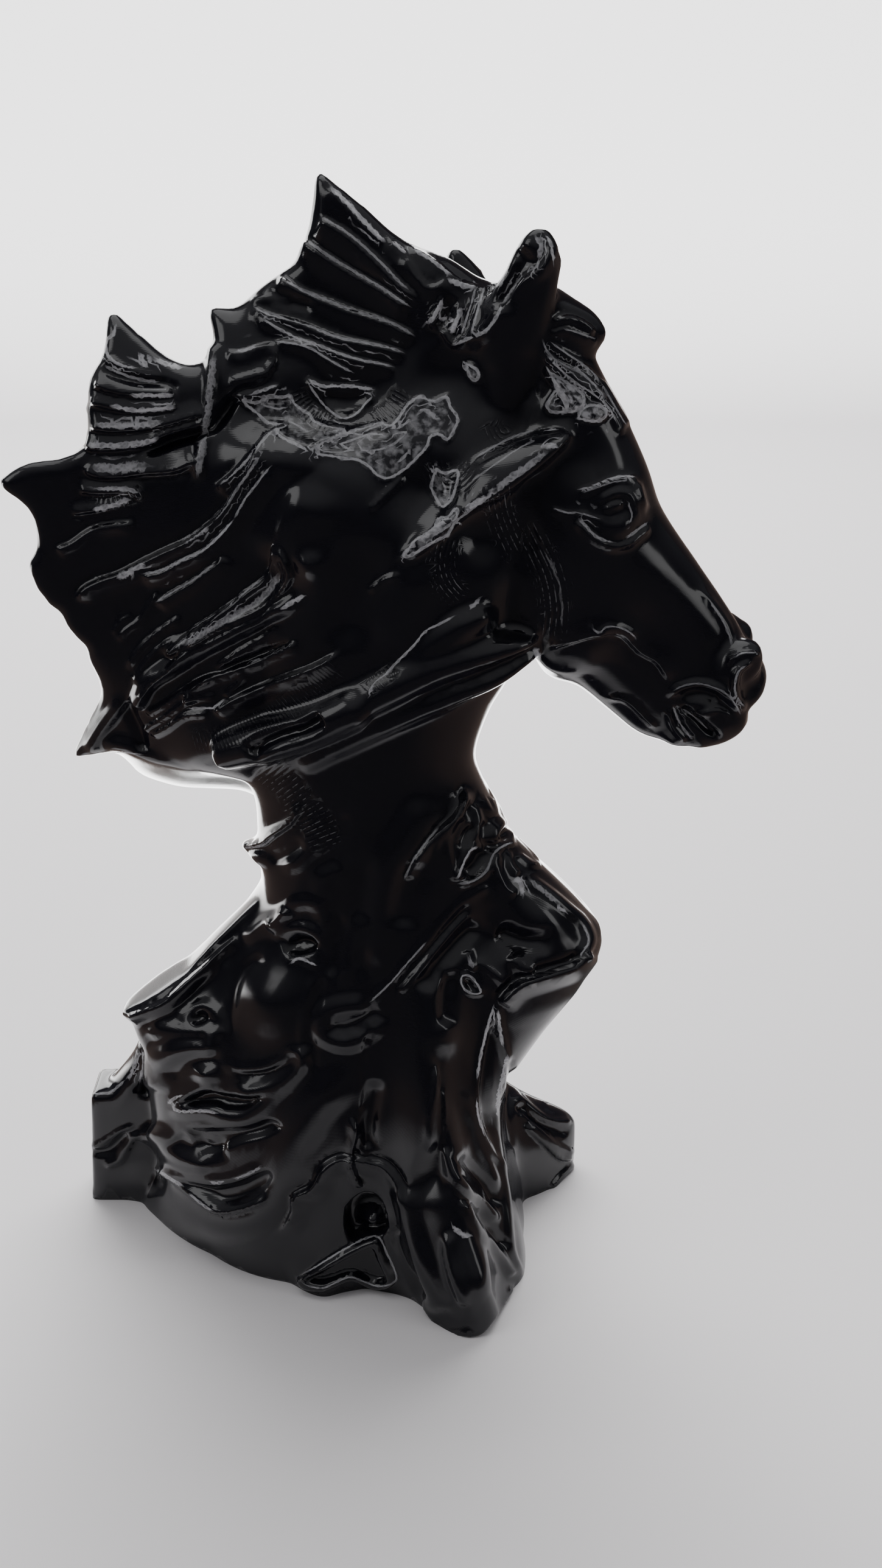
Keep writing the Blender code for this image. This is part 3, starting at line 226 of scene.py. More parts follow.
# A tapering lock: rows of ridge x, ridge z, middle depth, reach above and below the ridge, reach out
def lock(name, points, square=1.0, sides=24, perSpan=6, bothSides=False):
    rows = smoothPath(points, perSpan)
    for far in (False, True) if bothSides else (False,):
        centres = [atDepth(*row[:3]) for row in rows]
        if far:
            centres = [acrossMiddle(centre) for centre in centres]

        def place(ring, angle):
            ahead = centres[min(ring + 1, len(rows) - 1)]
            behind = centres[max(ring - 1, 0)]
            run = (ahead - behind).normalized()
            up = run.cross(Vector((0, 1, 0))).normalized()
            up = -up if up.z < 0 else up
            out = run.cross(up).normalized()
            above, below, reach = (max(value, 0.15) for value in rows[ring][3:6])
            rise = blunt(math.sin(angle), square)
            return (centres[ring] + up * rise * (above if rise > 0 else below)
                    + out * reach * blunt(math.cos(angle), square))

        skinOverRings(name, len(rows), sides, place)


def egg(name, x, z, depth, radii, turn, bothSides=True):   # turned about the axis across the head
    for far in (False, True) if bothSides else (False,):
        centre = atDepth(x, z, depth)
        centre = acrossMiddle(centre) if far else centre
        bm = bmesh.new()
        shape = Matrix.Diagonal((*radii, 1))
        place = Matrix.Translation(centre) @ Matrix.Rotation(math.radians(turn), 4, "Y") @ shape
        bmesh.ops.create_icosphere(bm, subdivisions=4, radius=1, matrix=place)
        keepForm(name, bm)


# The outline through stretches that are each smooth and meet at corners
def outlineThrough(stretches):
    outline = []
    for stretch in stretches:
        for x, z in smoothPath(stretch, 4):
            if not outline or math.hypot(x - outline[-1][0], z - outline[-1][1]) > 0.3:
                outline.append((x, z))
    return outline


# A rounded slab inside an outline: depthAt and halfAt give its middle depth and half thickness
def plate(name, stretches, depthAt, halfAt):
    outline = outlineThrough(stretches)
    slabHalf = drawing["slabHalf"]
    bm = bmesh.new()
    face = bm.faces.new([bm.verts.new((x, z, -slabHalf)) for x, z in outline])
    grown = bmesh.ops.extrude_face_region(bm, geom=[face])
    top = [item for item in grown["geom"] if isinstance(item, bmesh.types.BMVert)]
    bmesh.ops.translate(bm, vec=(0, 0, 2 * slabHalf), verts=top)
    bmesh.ops.triangulate(bm, faces=bm.faces)
    form = keepForm(name, bm)
    evenOut(form, drawing["formGrain"])
    points = pointsOf(form)
    drawn = points[:, [0, 1]]
    distance, _, _ = nearestOnPath(drawn, np.array(outline + outline[:1]))
    half = halfAt(drawn)
    thick = half * np.sqrt(1 - (1 - np.clip(distance / half, 0, 1)) ** 2)
    depth = depthAt(drawn)
    reach = 1 + (depth - middle) / lookDistance
    level = np.clip(points[:, 2] / slabHalf, -1, 1)
    x = eye[0] + (drawn[:, 0] - eye[0]) * reach
    z = eye[2] + (drawn[:, 1] - eye[2]) * reach
    putPoints(form, np.stack([x, depth - level * thick, z], axis=1))


# The head: rows of jaw point, brow point and half width, from the poll to the lips; eggs are place,
# depth, radii and turn. A stroke is a kind, width, height, share that fades in and out, and its path:
# a ridge stands up, a groove sinks, and a lap stands up on the left of its path (a lapR on the right)
# and falls away gently, like a lock of hair over the next. A swell is a place, reaches, turn and height.
head = {
    "rows": [
        (34, 172, 49, 193, 6.5), (35, 163, 52.6, 184, 10.5), (37, 152, 58.8, 173, 13.0),
        (39, 143, 62.7, 164.9, 14.0), (41, 134, 65.2, 158.1, 13.2), (45, 125.8, 69, 152, 11.8),
        (51, 123.4, 73.2, 146, 10.0), (57.5, 118, 76.8, 141, 8.6), (63, 113.5, 79.8, 136.6, 7.8),
        (68, 111.8, 82.5, 132.7, 7.6), (72.5, 110.8, 85.4, 129.4, 8.0), (76, 110.8, 87.3, 125.4, 7.8),
        (78.5, 111.8, 86.4, 121, 6.9), (80.3, 113.2, 84.8, 117.6, 5.0),
    ],
    "eggs": {
        "cheek": (53.5, 139.5, -1.2, (10.5, 7.6, 15.5), 28),
        "brow": (56.4, 158.4, -4.8, (6.4, 4.2, 5.8), 28),
        "eyeball": (58.2, 155.4, -6.6, (3.4, 2.6, 3.0), 20),
        "throat": (43.6, 143.5, -2.6, (6.6, 7.0, 12.5), 8),
        "farNostril": (80.7, 133.0, 9.0, (2.4, 3.0, 5.2), -32, False),
        "nostril": (81.6, 125.6, -1.6, (4.4, 4.0, 6.6), 24),
        "upperLip": (79.0, 116.6, 0.5, (4.6, 5.2, 4.2), 20),
        "lowerLip": (75.0, 113.4, 1.0, (3.8, 4.6, 3.2), 20),
        "chin": (71.0, 113.6, 1.4, (3.6, 4.2, 3.2), 10),
    },
    "strokes": [
        ("lapR", 1.7, 0.9, 0.1, 0.05, [(50.2, 160.3), (52.6, 160.9), (54.8, 161.8), (56.9, 162.6),
            (59.1, 162.8), (61.1, 162.6)]),
        ("ridge", 1.2, 0.5, 0.2, 0.3, [(61.2, 162.3), (61.3, 160.4), (62.2, 158.1), (63.3, 156.4)]),
        ("ridge", 1.2, 0.7, 0.15, 0.2, [(54.4, 157.7), (56, 159.2), (58.1, 159.9), (60, 158.8),
            (60.9, 156.2), (60.6, 153.9)]),
        ("lapR", 2.2, 1.5, 0.12, 0.15, [(55, 156.7), (56.2, 157.8), (58.6, 158.3)]),
        ("lapR", 2.1, 1.4, 0.15, 0.1, [(49.7, 155.8), (51.5, 153.9), (53.4, 152.1), (55.2, 151),
            (57.2, 150.4), (59.4, 150.9), (61.3, 152.3), (63.5, 154.3)]),
        ("lapR", 1.2, 0.7, 0.1, 0.1, [(45.9, 157), (48.4, 156.2), (50.6, 156.1), (52.5, 156.4)]),
        ("lapR", 1.2, 0.7, 0.1, 0.1, [(50.8, 156.1), (53, 155.4), (54.8, 154.8)]),
        ("ridge", 9, 0.35, 0.35, 0.12, [(63.3, 152.8), (67.7, 145.5), (73.2, 138.8), (77.9, 133.6),
            (79.9, 130.7)]),
        ("ridge", 1.2, 0.5, 0.3, 0.15, [(72.3, 142.9), (75.4, 139.3), (78, 135.8), (79.7, 132.4),
            (80.2, 130.2)]),
        ("lapR", 2.0, 1.1, 0.15, 0.1, [(79, 127.8), (80.6, 128.4), (81.9, 129.3), (83.5, 129.5),
            (85.1, 129.3), (85.9, 128.4)]),
        ("ridge", 1.4, 1.2, 0.15, 0.15, [(84.7, 128.3), (83.4, 126.8), (81.9, 125.7), (81.4, 123.6),
            (81.5, 121.3), (82.4, 119.5), (83.6, 118.2), (84.7, 117.4)]),
        ("ridge", 1.4, 1.0, 0.15, 0.15, [(68.2, 119.9), (69.5, 121.5), (71.7, 122.6), (74.7, 123),
            (77.7, 122.1), (79.9, 120.9), (81.6, 119), (83.3, 116.2)]),
        ("groove", 2.2, 1.1, 0.2, 0.2, [(71, 119.7), (73.7, 120.9), (76.5, 120.7), (78.9, 119.2)]),
        ("lapR", 1.8, 1.0, 0.15, 0.15, [(70.2, 117.7), (72.8, 117.4), (75.1, 117.4), (76.9, 118),
            (79.2, 117.9), (81.7, 116.2)]),
        ("groove", 1.0, 1.7, 0.1, 0.1, [(71.3, 118.2), (73.3, 116.9), (75, 115.4), (76.8, 113.6),
            (78.9, 111.7)]),
        ("ridge", 1.2, 0.9, 0.15, 0.15, [(68.9, 118.4), (69.7, 115.9), (71.1, 113.4), (73.1, 111.2)]),
        ("groove", 1.1, 0.9, 0.15, 0.15, [(69.9, 118.7), (70.9, 115.9), (72.4, 113.4), (74.3, 111.4)]),
        ("lap", 5.0, 1.0, 0.15, 0.15, [(44.8, 129.3), (49.1, 130.9), (55.3, 132.6), (59.3, 132.4),
            (62.9, 129), (66.2, 127.1), (68, 124.4), (69.2, 122.1)]),
        ("ridge", 0.9, 0.5, 0.15, 0.15, [(53.8, 134.2), (55.2, 133.1), (56.5, 134.3), (58.6, 134.3),
            (60.7, 133.4), (62.4, 132)]),
        ("lapR", 1.8, 0.9, 0.15, 0.15, [(56.6, 120.3), (59.4, 120.8), (62.2, 119.4), (64.7, 116.9),
            (67.6, 113.9)]),
        ("ridge", 4.0, 0.7, 0.3, 0.3, [(40.5, 162), (44, 153), (47.1, 143.8), (47.9, 136.7),
            (47.3, 130.5)]),
        ("lapR", 3.0, 1.3, 0.1, 0.15, [(44.8, 190.5), (47.3, 191), (50, 190.3), (52.9, 188.3)]),
        ("lapR", 2.2, 1.0, 0.1, 0.15, [(44.5, 188.2), (46.8, 189), (49.5, 188.2), (53.2, 186.6)]),
        ("lapR", 1.8, 0.9, 0.1, 0.1, [(43.2, 187), (44.8, 184.2), (47.6, 182.5), (50.3, 181.2), (53, 178.8),
            (54.8, 176.7)]),
        ("lapR", 1.6, 0.9, 0.1, 0.1, [(44.7, 186.8), (47.5, 184.8), (50.2, 183.1), (52.4, 181.3),
            (54.1, 179.2)]),
        ("ridge", 1.1, 0.8, 0.08, 0.1, [(43.8, 184.5), (46, 182.4), (49.2, 179.7), (52.5, 177.6),
            (55.3, 175.2), (57, 172.2), (58.5, 170)]),
        ("ridge", 1.0, 0.7, 0.1, 0.1, [(53.2, 180.3), (55.2, 177.3), (56.9, 174.6), (58.9, 171.7)]),
        ("ridge", 1.1, 0.8, 0.1, 0.1, [(43.9, 182.6), (45.3, 180.5), (47.2, 177.8), (48.8, 175.7)]),
        ("groove", 1.4, 0.9, 0.1, 0.1, [(44.9, 182), (46.8, 180.3), (49, 178.4), (50.5, 176.8)]),
        ("lapR", 2.6, 1.4, 0.06, 0.1, [(27.3, 186.2), (29, 186.8), (31.6, 187.6), (33.7, 188.7),
            (35.2, 190.7), (36.3, 193), (37.8, 195.2), (39.6, 197.4), (42.3, 199.2), (43.6, 201.8),
            (43.2, 204.4)]),
        ("groove", 3.8, 1.7, 0.2, 0.2, [(41.1, 202.6), (39.7, 200.4), (38, 198.2), (36.7, 195.2),
            (34.9, 191.7)]),
        ("ridge", 1.3, 0.8, 0.15, 0.2, [(38.3, 201.4), (36.9, 199), (35.4, 196.2), (34.2, 193)]),
        ("groove", 4.0, 0.4, 0.3, 0.3, [(40.9, 186.8), (40.3, 182.6), (40.8, 178.4), (42, 175.4)]),
        ("ridge", 3.0, 0.3, 0.3, 0.3, [(37.1, 186.8), (36.3, 180.5), (36.8, 174.1)]),
        ("groove", 4.0, 0.4, 0.3, 0.3, [(33.7, 183.6), (33.3, 178.4), (34.5, 173)]),
    ],
    "panels": [
        (0.9, 0.5, [(44.3, 175.4), (44.9, 176.8), (45.6, 177.8), (46.6, 178.3), (47.3, 176.8),
            (47.9, 175.2), (46.9, 174.4), (45.1, 174.5)]),
        (1.0, 0.5, [(44.9, 181.3), (46.6, 180.3), (48.7, 179), (50.7, 177.5), (50.8, 175.8), (49.5, 174.7),
            (48.2, 174.5), (47.4, 176.2), (46.1, 178.4)]),
        (1.0, 0.5, [(50, 173.4), (50.7, 174.9), (52.1, 175.6), (54, 175.4), (55.1, 174.1), (53.8, 172.9),
            (51.7, 172.9)]),
        (0.35, 1.4, [(42.1, 180.7), (43.9, 180.3), (44.8, 178.6), (43.9, 176.8), (42.4, 177.3),
            (41.8, 179)]),
        (0.6, 0.5, [(30.1, 182.8), (31.6, 182.1), (32.4, 181), (31.6, 179.9), (30.5, 181.2)]),
    ],
    "scuffs": [
        (0.2, [(44.3, 175.4), (44.9, 176.8), (45.6, 177.8), (46.6, 178.3), (47.3, 176.8), (47.9, 175.2),
            (46.9, 174.4), (45.1, 174.5)]),
        (0.9, [(44.9, 181.3), (46.6, 180.3), (48.7, 179), (50.7, 177.5), (50.8, 175.8), (49.5, 174.7),
            (48.2, 174.5), (47.4, 176.2), (46.1, 178.4)]),
        (0.7, [(50, 173.4), (50.7, 174.9), (52.1, 175.6), (54, 175.4), (55.1, 174.1), (53.8, 172.9),
            (51.7, 172.9)]),
        (0.5, [(30.1, 182.8), (31.6, 182.1), (32.4, 181), (31.6, 179.9), (30.5, 181.2)]),
    ],
    # pale lines along edges: partly rubbed wear, partly painted highlights where the edges catch the light
    "wearAndHighlights": [
        (0.8, 0.4, [(50.2, 160.4), (52.6, 161), (54.7, 161.9), (56.9, 162.7), (59.1, 162.9),
            (60.8, 162.7)]),
        (0.5, 0.3, [(51.1, 159.9), (54.2, 161), (56.9, 161.9), (60.2, 162.3)]),
        (0.7, 0.5, [(50.6, 155.1), (52.2, 153.5), (53.6, 152), (55.4, 151.1), (57.2, 150.6)]),
        (0.6, 0.5, [(59.4, 151.4), (61.3, 152.9), (63.2, 154.4)]),
        (0.5, 0.35, [(59.5, 158), (60.3, 155.9), (60, 154.2)]),
        (0.7, 0.35, [(46.1, 157), (48.4, 156.2), (50.6, 156.2)]),
        (0.6, 0.3, [(51.2, 156.1), (53, 155.5), (54.6, 155.1)]),
        (0.5, 0.4, [(75.4, 139.4), (78, 135.9), (79.7, 132.4), (80.2, 130.5)]),
        (0.6, 0.5, [(80.7, 128.4), (81.9, 129.1), (83.5, 129.4), (85, 129.3)]),
        (0.6, 0.4, [(83.3, 126.7), (81.9, 125.6), (81.4, 123.6), (81.5, 121.3), (82.4, 119.5),
            (83.6, 118.2)]),
        (0.4, 0.35, [(69.5, 121.4), (71.7, 122.6), (74.7, 123), (77.7, 122.1), (79.9, 120.9), (81.6, 119),
            (83, 116.5)]),
        (0.6, 0.3, [(71.6, 117.9), (73.3, 116.8), (75, 115.4), (76.8, 113.6)]),
        (0.7, 0.4, [(69.9, 118.4), (70.9, 115.9), (72.4, 113.4), (74.1, 111.5)]),
        (0.6, 0.3, [(53.8, 134.2), (55.2, 133.1), (56.5, 134.3), (58.6, 134.3), (60.7, 133.4),
            (62.4, 132)]),
        (0.5, 0.4, [(43.2, 187), (44.8, 184.2), (47.6, 182.5), (50.3, 181.2), (53, 178.8), (54.8, 176.7)]),
        (0.8, 0.35, [(44, 184.5), (46, 182.4), (49.2, 179.7), (52.5, 177.6), (55.3, 175.2), (57, 172.2)]),
        (0.8, 0.35, [(44, 182.5), (45.3, 180.5), (47.2, 177.8), (48.6, 175.9)]),
        (0.6, 0.3, [(44.7, 186.6), (47.5, 184.7), (50.2, 183), (52.4, 181.2), (53.8, 179.4)]),
        (0.5, 0.3, [(53.5, 180), (55.2, 177.3), (56.9, 174.6), (58.7, 171.9)]),
        (0.7, 0.3, [(49.1, 182.6), (51.3, 180.5), (53.6, 178.4)]),
        (0.4, 0.3, [(46.9, 188.8), (49.5, 188.2), (52.5, 187.1)]),
        (0.7, 0.6, [(27.9, 186.3), (29.1, 186.8), (31.6, 187.6), (33.7, 188.7), (35.2, 190.7),
            (36.3, 193)]),
        (0.6, 0.5, [(36.3, 193), (37.8, 195.2), (39.6, 197.4), (41.9, 198.9)]),
        (0.8, 0.9, [(41.7, 204.2), (42.6, 203), (42.4, 200.6)]),
        (0.9, 0.5, [(43.4, 204.4), (44.3, 203), (44.9, 200.2)]),
        (0.7, 0.5, [(42.4, 200.6), (41.9, 199), (40, 197.8)]),
        (1.0, 0.8, [(35.5, 196), (36.3, 197.6), (37.1, 199)]),
        (0.7, 0.4, [(34.3, 194.6), (35, 196.6), (35.8, 198.2)]),
        (0.25, 0.3, [(44.5, 149), (46.9, 144.4), (48.2, 139.7), (48.1, 134.3)]),
        (0.9, 0.7, [(43.8, 170.5), (45.1, 171.1), (46.2, 171.3)]),
        (0.9, 0.9, [(43.9, 167.8), (45.2, 168.5), (46.5, 168.3)]),
        (0.6, 0.4, [(31.7, 166.2), (35.2, 168.3), (38.7, 170.1), (42.5, 171.3)]),
        (0.5, 0.3, [(31.2, 162), (35, 164.8), (39.3, 167.8), (43.6, 170)]),
        (0.7, 0.5, [(23, 151), (28, 154.4), (34, 158.9), (39.4, 162.9), (44.3, 166.6)]),
        (0.8, 1.2, [(43.2, 130.2), (43.9, 128.5), (43.1, 126.3)]),
    ],
    "swells": [
        (58.3, 155.1, 3.9, 3.4, 20, -1.3), (57.9, 153.9, 2.9, 2.7, 20, 2.0),
        (86.5, 115.9, 2.4, 3.4, -20, -1.5),
        (40.5, 141, 4.6, 8.5, 10, -0.8),
        (84.2, 123.6, 2.2, 4.6, -12, -1.7), (52, 166, 5.5, 5.0, 0, -1.0), (62.5, 155, 1.3, 2.0, 10, 0.5),
        (64.0, 133, 7.0, 6.0, 40, -0.9), (76.8, 117.4, 2.6, 1.8, 30, 0.6),
        (73.6, 113.6, 2.6, 1.8, 30, 0.6),
    ],
}


def makeHead():
    trunk("head", head["rows"])
    for name, values in head["eggs"].items():
        egg(name, *values)


# The near ear is pricked, and the far one shows behind the crest. Rows as in lock
ears = {
    "near": [
        (33.0, 168, 2.0, 3.0, 3.0, 3.0), (34.6, 176, 0.5, 8.2, 7.4, 5.0), (36.9, 184, -0.8, 8.0, 6.8, 4.8),
        (39.2, 191, -2.4, 6.6, 5.8, 4.2), (41.0, 197, -3.6, 5.0, 4.8, 3.6),
        (42.0, 201.5, -4.0, 3.8, 3.8, 2.8), (42.6, 204.6, -4.0, 2.4, 2.4, 1.8),
        (42.8, 205.8, -4.0, 1.0, 1.0, 0.8),
    ],
    "far": [
        (37.0, 180, 11.0, 5.0, 5.0, 5.0), (33.0, 190, 12.5, 4.9, 4.9, 4.4),
        (29.7, 197.5, 13.5, 3.2, 3.4, 3.4), (27.6, 202.2, 13.5, 1.2, 1.2, 1.4),
    ],
}


def makeEars():
    lock("nearEar", ears["near"])
    lock("farEar", ears["far"])


# The mane: its edge runs clockwise from the poll, in stretches that meet at its tips
mane = {
    "edge": [
        [(37, 197.5), (33, 197.2), (27, 200.8), (19, 204), (13, 209), (5.0, 215.3)],
        [(4.6, 214.5), (3.5, 207), (1, 200.5), (-2.5, 198), (-7, 194.8), (-9.5, 192.6), (-14.5, 192.9)],
        [(-14.5, 192), (-14, 186), (-17, 183), (-21.5, 184), (-27.5, 189.2), (-30.8, 192.4)],
        [(-32, 191.4), (-33.4, 184.5), (-36, 180.5), (-37, 174), (-37.5, 169), (-42, 166.5), (-49, 165.4),
            (-54.2, 162.2)],
        [(-53.4, 160.5), (-48.9, 156.5), (-48, 150.5), (-50.2, 146.7)],
        [(-50.2, 146.3), (-49.3, 142.3), (-47.8, 140), (-46.9, 138.2)],
        [(-44.4, 137.6), (-44.5, 135.2), (-41.9, 131.4)],
        [(-40.4, 130.6), (-40.7, 128.2), (-39.2, 124.5), (-38.9, 120.7), (-41.2, 116.5), (-45.6, 108.2)],
        [(-45.2, 107.6), (-37.5, 109), (-31, 108.5), (-19.5, 105.5), (-9, 103)],
        [(4, 112), (20, 140), (36, 172), (41, 188)],
    ],
    "neckSpine": [(-8, 108), (-4, 130), (-2, 150), (6, 168), (20, 182), (33, 192)],
    "thickness": (1.9, 9.5, 3.6),          # at the tips, beside the neck and above the neck's ledge
    "reaches": (21, 26),                   # how far from the spine the last two go
    "ledge": (0.16, 168, 9),               # its rise to the right, its height and how softly it begins
    "fan": (176, 22, 30, 26, 5.0),         # foot, height, right end, width and lean
    "tips": (6, 58, 4.5),                  # where they begin and over how far, and how near they come
    "lowTips": (132, 24, 7.0),             # the lower ones lean away again
    "underside": [                         # slopes away under the mane, nearly along the line of sight
        [(-40, 109.6), (-35.9, 112.5), (-30, 110.5), (-24.4, 109.3), (-19.4, 108.5), (-12, 108.2),
            (-4, 108)],
        [(-4, 107), (-4, 100)],
        [(-4.6, 99.2), (-9.3, 99.2), (-13.3, 101), (-19.6, 101.4), (-24.1, 101.6), (-28.5, 102.7),
            (-32.9, 104.7), (-36, 108.4), (-39.6, 109.2)],
    ],
    "undersideTop": [(-40, 109.4), (-35.9, 110), (-30, 107.3), (-24.4, 106.1), (-19.4, 105.3),
        (-12.7, 104.8), (-4, 103.5)],
    "undersideDepth": (5.0, 15.0, 4.0, 2.4),   # start, how much deeper over how far, and half thickness
    "napeSpike": [
        (-13.8, 89.2, 4, 0.7, 0.7, 0.8), (-11, 88.5, 3, 1.6, 1.8, 3.0), (-7, 88, 1, 3.5, 3.0, 6.0),
        (0, 88, 0, 4.0, 4.0, 8.0),
    ],
    "strokes": [
        ("lapR", 1.6, 0.9, 0.1, 0.1, [(6.7, 212.2), (10.4, 208.9), (12.9, 206.2), (16.6, 203)]),
        ("lapR", 1.4, 0.8, 0.1, 0.1, [(17, 203.7), (18.5, 202.4), (20.1, 201.4)]),
        ("lapR", 1.6, 0.9, 0.1, 0.1, [(20.7, 202.6), (24.7, 200.2), (27.5, 198), (29.9, 196.4),
            (31.9, 196.4)]),
        ("lapR", 4.4, 1.3, 0.06, 0.12, [(5.2, 207.5), (8.8, 205.5), (11.3, 203.7), (13.8, 201.5),
            (16.4, 199), (18.5, 196.8), (20.5, 195.2), (22.3, 193.2)]),
        ("lapR", 4.6, 1.4, 0.06, 0.08, [(2.5, 203.8), (6.6, 201), (10.7, 198.5), (14.8, 196.2),
            (17.9, 194.2), (20.7, 192.4)]),
        ("lapR", 4.2, 1.4, 0.06, 0.08, [(-2.1, 197.8), (-0.3, 196.7), (2.2, 195.2), (5.3, 194),
            (7.4, 193.2), (10.5, 192), (14.7, 190.7), (17.9, 189.5), (21.4, 187.5)]),
        ("lapR", 3.0, 1.3, 0.06, 0.06, [(-6.8, 192.7), (-4.2, 191.4), (-1.1, 190.6), (2.1, 189.7),
            (5.2, 188.4), (8.3, 187.3), (12.5, 186.5), (16.7, 185.6), (19.7, 184.6)]),
        ("lapR", 2.6, 1.2, 0.06, 0.06, [(-5.8, 190.9), (-2.2, 188.8), (0.9, 187.2), (4.1, 186.2),
            (7.2, 184.9), (11.4, 183.6), (14.6, 183), (17.8, 182.2)]),
        ("lapR", 2.8, 1.1, 0.08, 0.08, [(-3.3, 186.7), (-0.2, 186.4), (3, 185.5), (6.1, 183.6),
            (8.2, 182.4), (10.6, 181.2)]),
        ("groove", 1.8, 0.8, 0.2, 0.2, [(-4.1, 194.5), (-0.9, 193.8), (4.2, 192.4)]),
        ("lapR", 2.4, 1.0, 0.1, 0.1, [(1.8, 180.5), (4.9, 179.2), (9.7, 179.2), (14.1, 178.3)]),
        ("lap", 2.2, 0.9, 0.1, 0.1, [(1.7, 179.6), (3.8, 177.3), (5.3, 175.4), (7.1, 173.9), (8.6, 173.3),
            (10.7, 174.1), (12.6, 176.2), (14, 177.5)]),
        ("ridge", 1.0, 0.5, 0.1, 0.1, [(-7, 193.3), (-4.1, 193.9), (0.1, 193.5)]),
        ("lap", 1.6, 0.8, 0.1, 0.1, [(-33.4, 183.4), (-31.2, 182.5), (-28.6, 181.2), (-26, 180.4),
            (-23.4, 180.1)]),
        ("lap", 3.0, 1.5, 0.06, 0.06, [(-35.5, 178.8), (-32.1, 177.7), (-28.4, 177.2), (-24.6, 177.2),
            (-21.1, 177.3)]),
        ("groove", 1.3, 0.8, 0.1, 0.1, [(-33.8, 182.5), (-31.3, 180.9), (-27.1, 179.7), (-22.8, 179.4),
            (-20.1, 178.3)]),
        ("lap", 3.0, 1.5, 0.06, 0.06, [(-36.4, 175.9), (-32.8, 175), (-28.6, 174.4), (-24.8, 174.6),
            (-20.8, 175.2)]),
        ("lap", 3.2, 1.6, 0.06, 0.06, [(-36.7, 171.5), (-33.2, 170.9), (-27.7, 171.2), (-23.4, 172),
            (-20.1, 172.9), (-15.9, 174.1)]),
        ("lap", 3.2, 1.6, 0.06, 0.06, [(-38, 167.7), (-34.5, 167.6), (-31.2, 167.8), (-26.3, 168.5),
            (-22.9, 170.1), (-19.1, 171.1), (-14.7, 171.9)]),
        ("lap", 3.6, 1.7, 0.06, 0.06, [(-38.7, 164.3), (-36.5, 162.8), (-31.6, 162.7), (-27.2, 163.2),
            (-21.7, 163.6), (-17.5, 165.4)]),
        ("lap", 2.6, 1.4, 0.06, 0.06, [(-39.5, 160), (-35.7, 159.6), (-30.8, 159.8), (-28.3, 158.5)]),
        ("lap", 2.2, 1.2, 0.06, 0.08, [(-41.2, 155.9), (-37.6, 156.3), (-33.7, 157.2), (-30, 158.5)]),
        ("lapR", 3.0, 1.3, 0.06, 0.1, [(-44.9, 149.6), (-42, 150.7), (-37.9, 153.3), (-34, 154.2),
            (-29.8, 154.6)]),
        ("ridge", 1.7, 1.1, 0.1, 0.1, [(-13.2, 187.2), (-14.1, 182.6), (-15, 177.3), (-16, 171.9),
            (-17, 167), (-18.4, 161.8)]),
        ("lapR", 2.6, 1.0, 0.1, 0.1, [(-11.7, 185.1), (-9.2, 184.9), (-6, 185.9), (-3.1, 186.6)]),
        ("lap", 2.2, 1.0, 0.1, 0.1, [(-11.7, 177.3), (-9.9, 178.8), (-6.8, 179.6), (-4.1, 181.3),
            (-2.9, 183.6), (-3.1, 186.3)]),
        ("ridge", 1.0, 0.6, 0.1, 0.1, [(-11.5, 179.7), (-8.9, 180.4), (-5.3, 181.3)]),
        ("lapR", 2.2, 1.1, 0.1, 0.1, [(-11.9, 177.3), (-8.5, 177.8), (-5.6, 178.4), (-2.8, 179.3)]),
        ("groove", 1.7, 1.8, 0.1, 0.2, [(-9.3, 176.8), (-11.3, 176.2), (-12.6, 174.5), (-14.7, 172.2),
            (-17.5, 170.6), (-21.4, 169.5), (-25.3, 168), (-28.6, 167.3)]),
        ("lapR", 3.6, 1.2, 0.08, 0.08, [(-15.1, 160.9), (-12.5, 162.7), (-9.6, 165.3), (-7.1, 167.8),
            (-4.8, 170.6), (-1.8, 172.2)]),
        ("lapR", 4.4, 1.6, 0.06, 0.08, [(-42.3, 139.1), (-40.6, 141.9), (-37, 143.8), (-33, 145.2),
            (-28.9, 147.3), (-24.9, 149.2), (-20.3, 151.3), (-16.3, 154.2), (-13.6, 156.9), (-11.2, 160.4),
            (-8.1, 164.5), (-5.7, 168.7)]),
        ("lapR", 3.6, 1.4, 0.06, 0.08, [(-29.7, 144.5), (-25.7, 145.3), (-21.7, 147.3), (-17.7, 149.2),
            (-14.1, 152.5), (-11.8, 155.1), (-9.7, 158.7), (-7.2, 161.8), (-4.7, 164.9)]),
        ("lapR", 3.4, 1.2, 0.08, 0.08, [(-27.3, 139.1), (-23.7, 141.3), (-20.2, 143.3), (-17.3, 145.5),
            (-15.5, 146.7), (-14, 148.4)]),
        ("lapR", 2.8, 1.6, 0.05, 0.1, [(-26, 129), (-22.6, 132.2), (-19.1, 134.9), (-14.4, 137.9),
            (-10.2, 141.4), (-6.8, 144), (-4.7, 147.9), (-3.9, 151)]),
        ("lap", 2.8, 1.6, 0.05, 0.1, [(-26.1, 128.3), (-21.6, 130.6), (-16.9, 133.1), (-12.2, 135.5),
            (-7.6, 137.8), (-4.5, 139.8), (-2.2, 141.9), (-0.9, 144.4), (-1.1, 147.3), (-2.1, 150.5)]),
        ("ridge", 2.6, 1.9, 0.05, 0.15, [(-32.1, 117.8), (-31.2, 120.9), (-29.9, 123.4), (-28, 125),
            (-25.1, 126.4), (-20.5, 129.4), (-15.8, 132), (-11.1, 134.6), (-6.5, 136.8), (-2.1, 139.1),
            (1, 140.5)]),
        ("lapR", 2.0, 0.9, 0.1, 0.1, [(-17.3, 125.8), (-14.4, 128.3), (-11.3, 130.5), (-7.8, 132.5),
            (-4.6, 135)]),
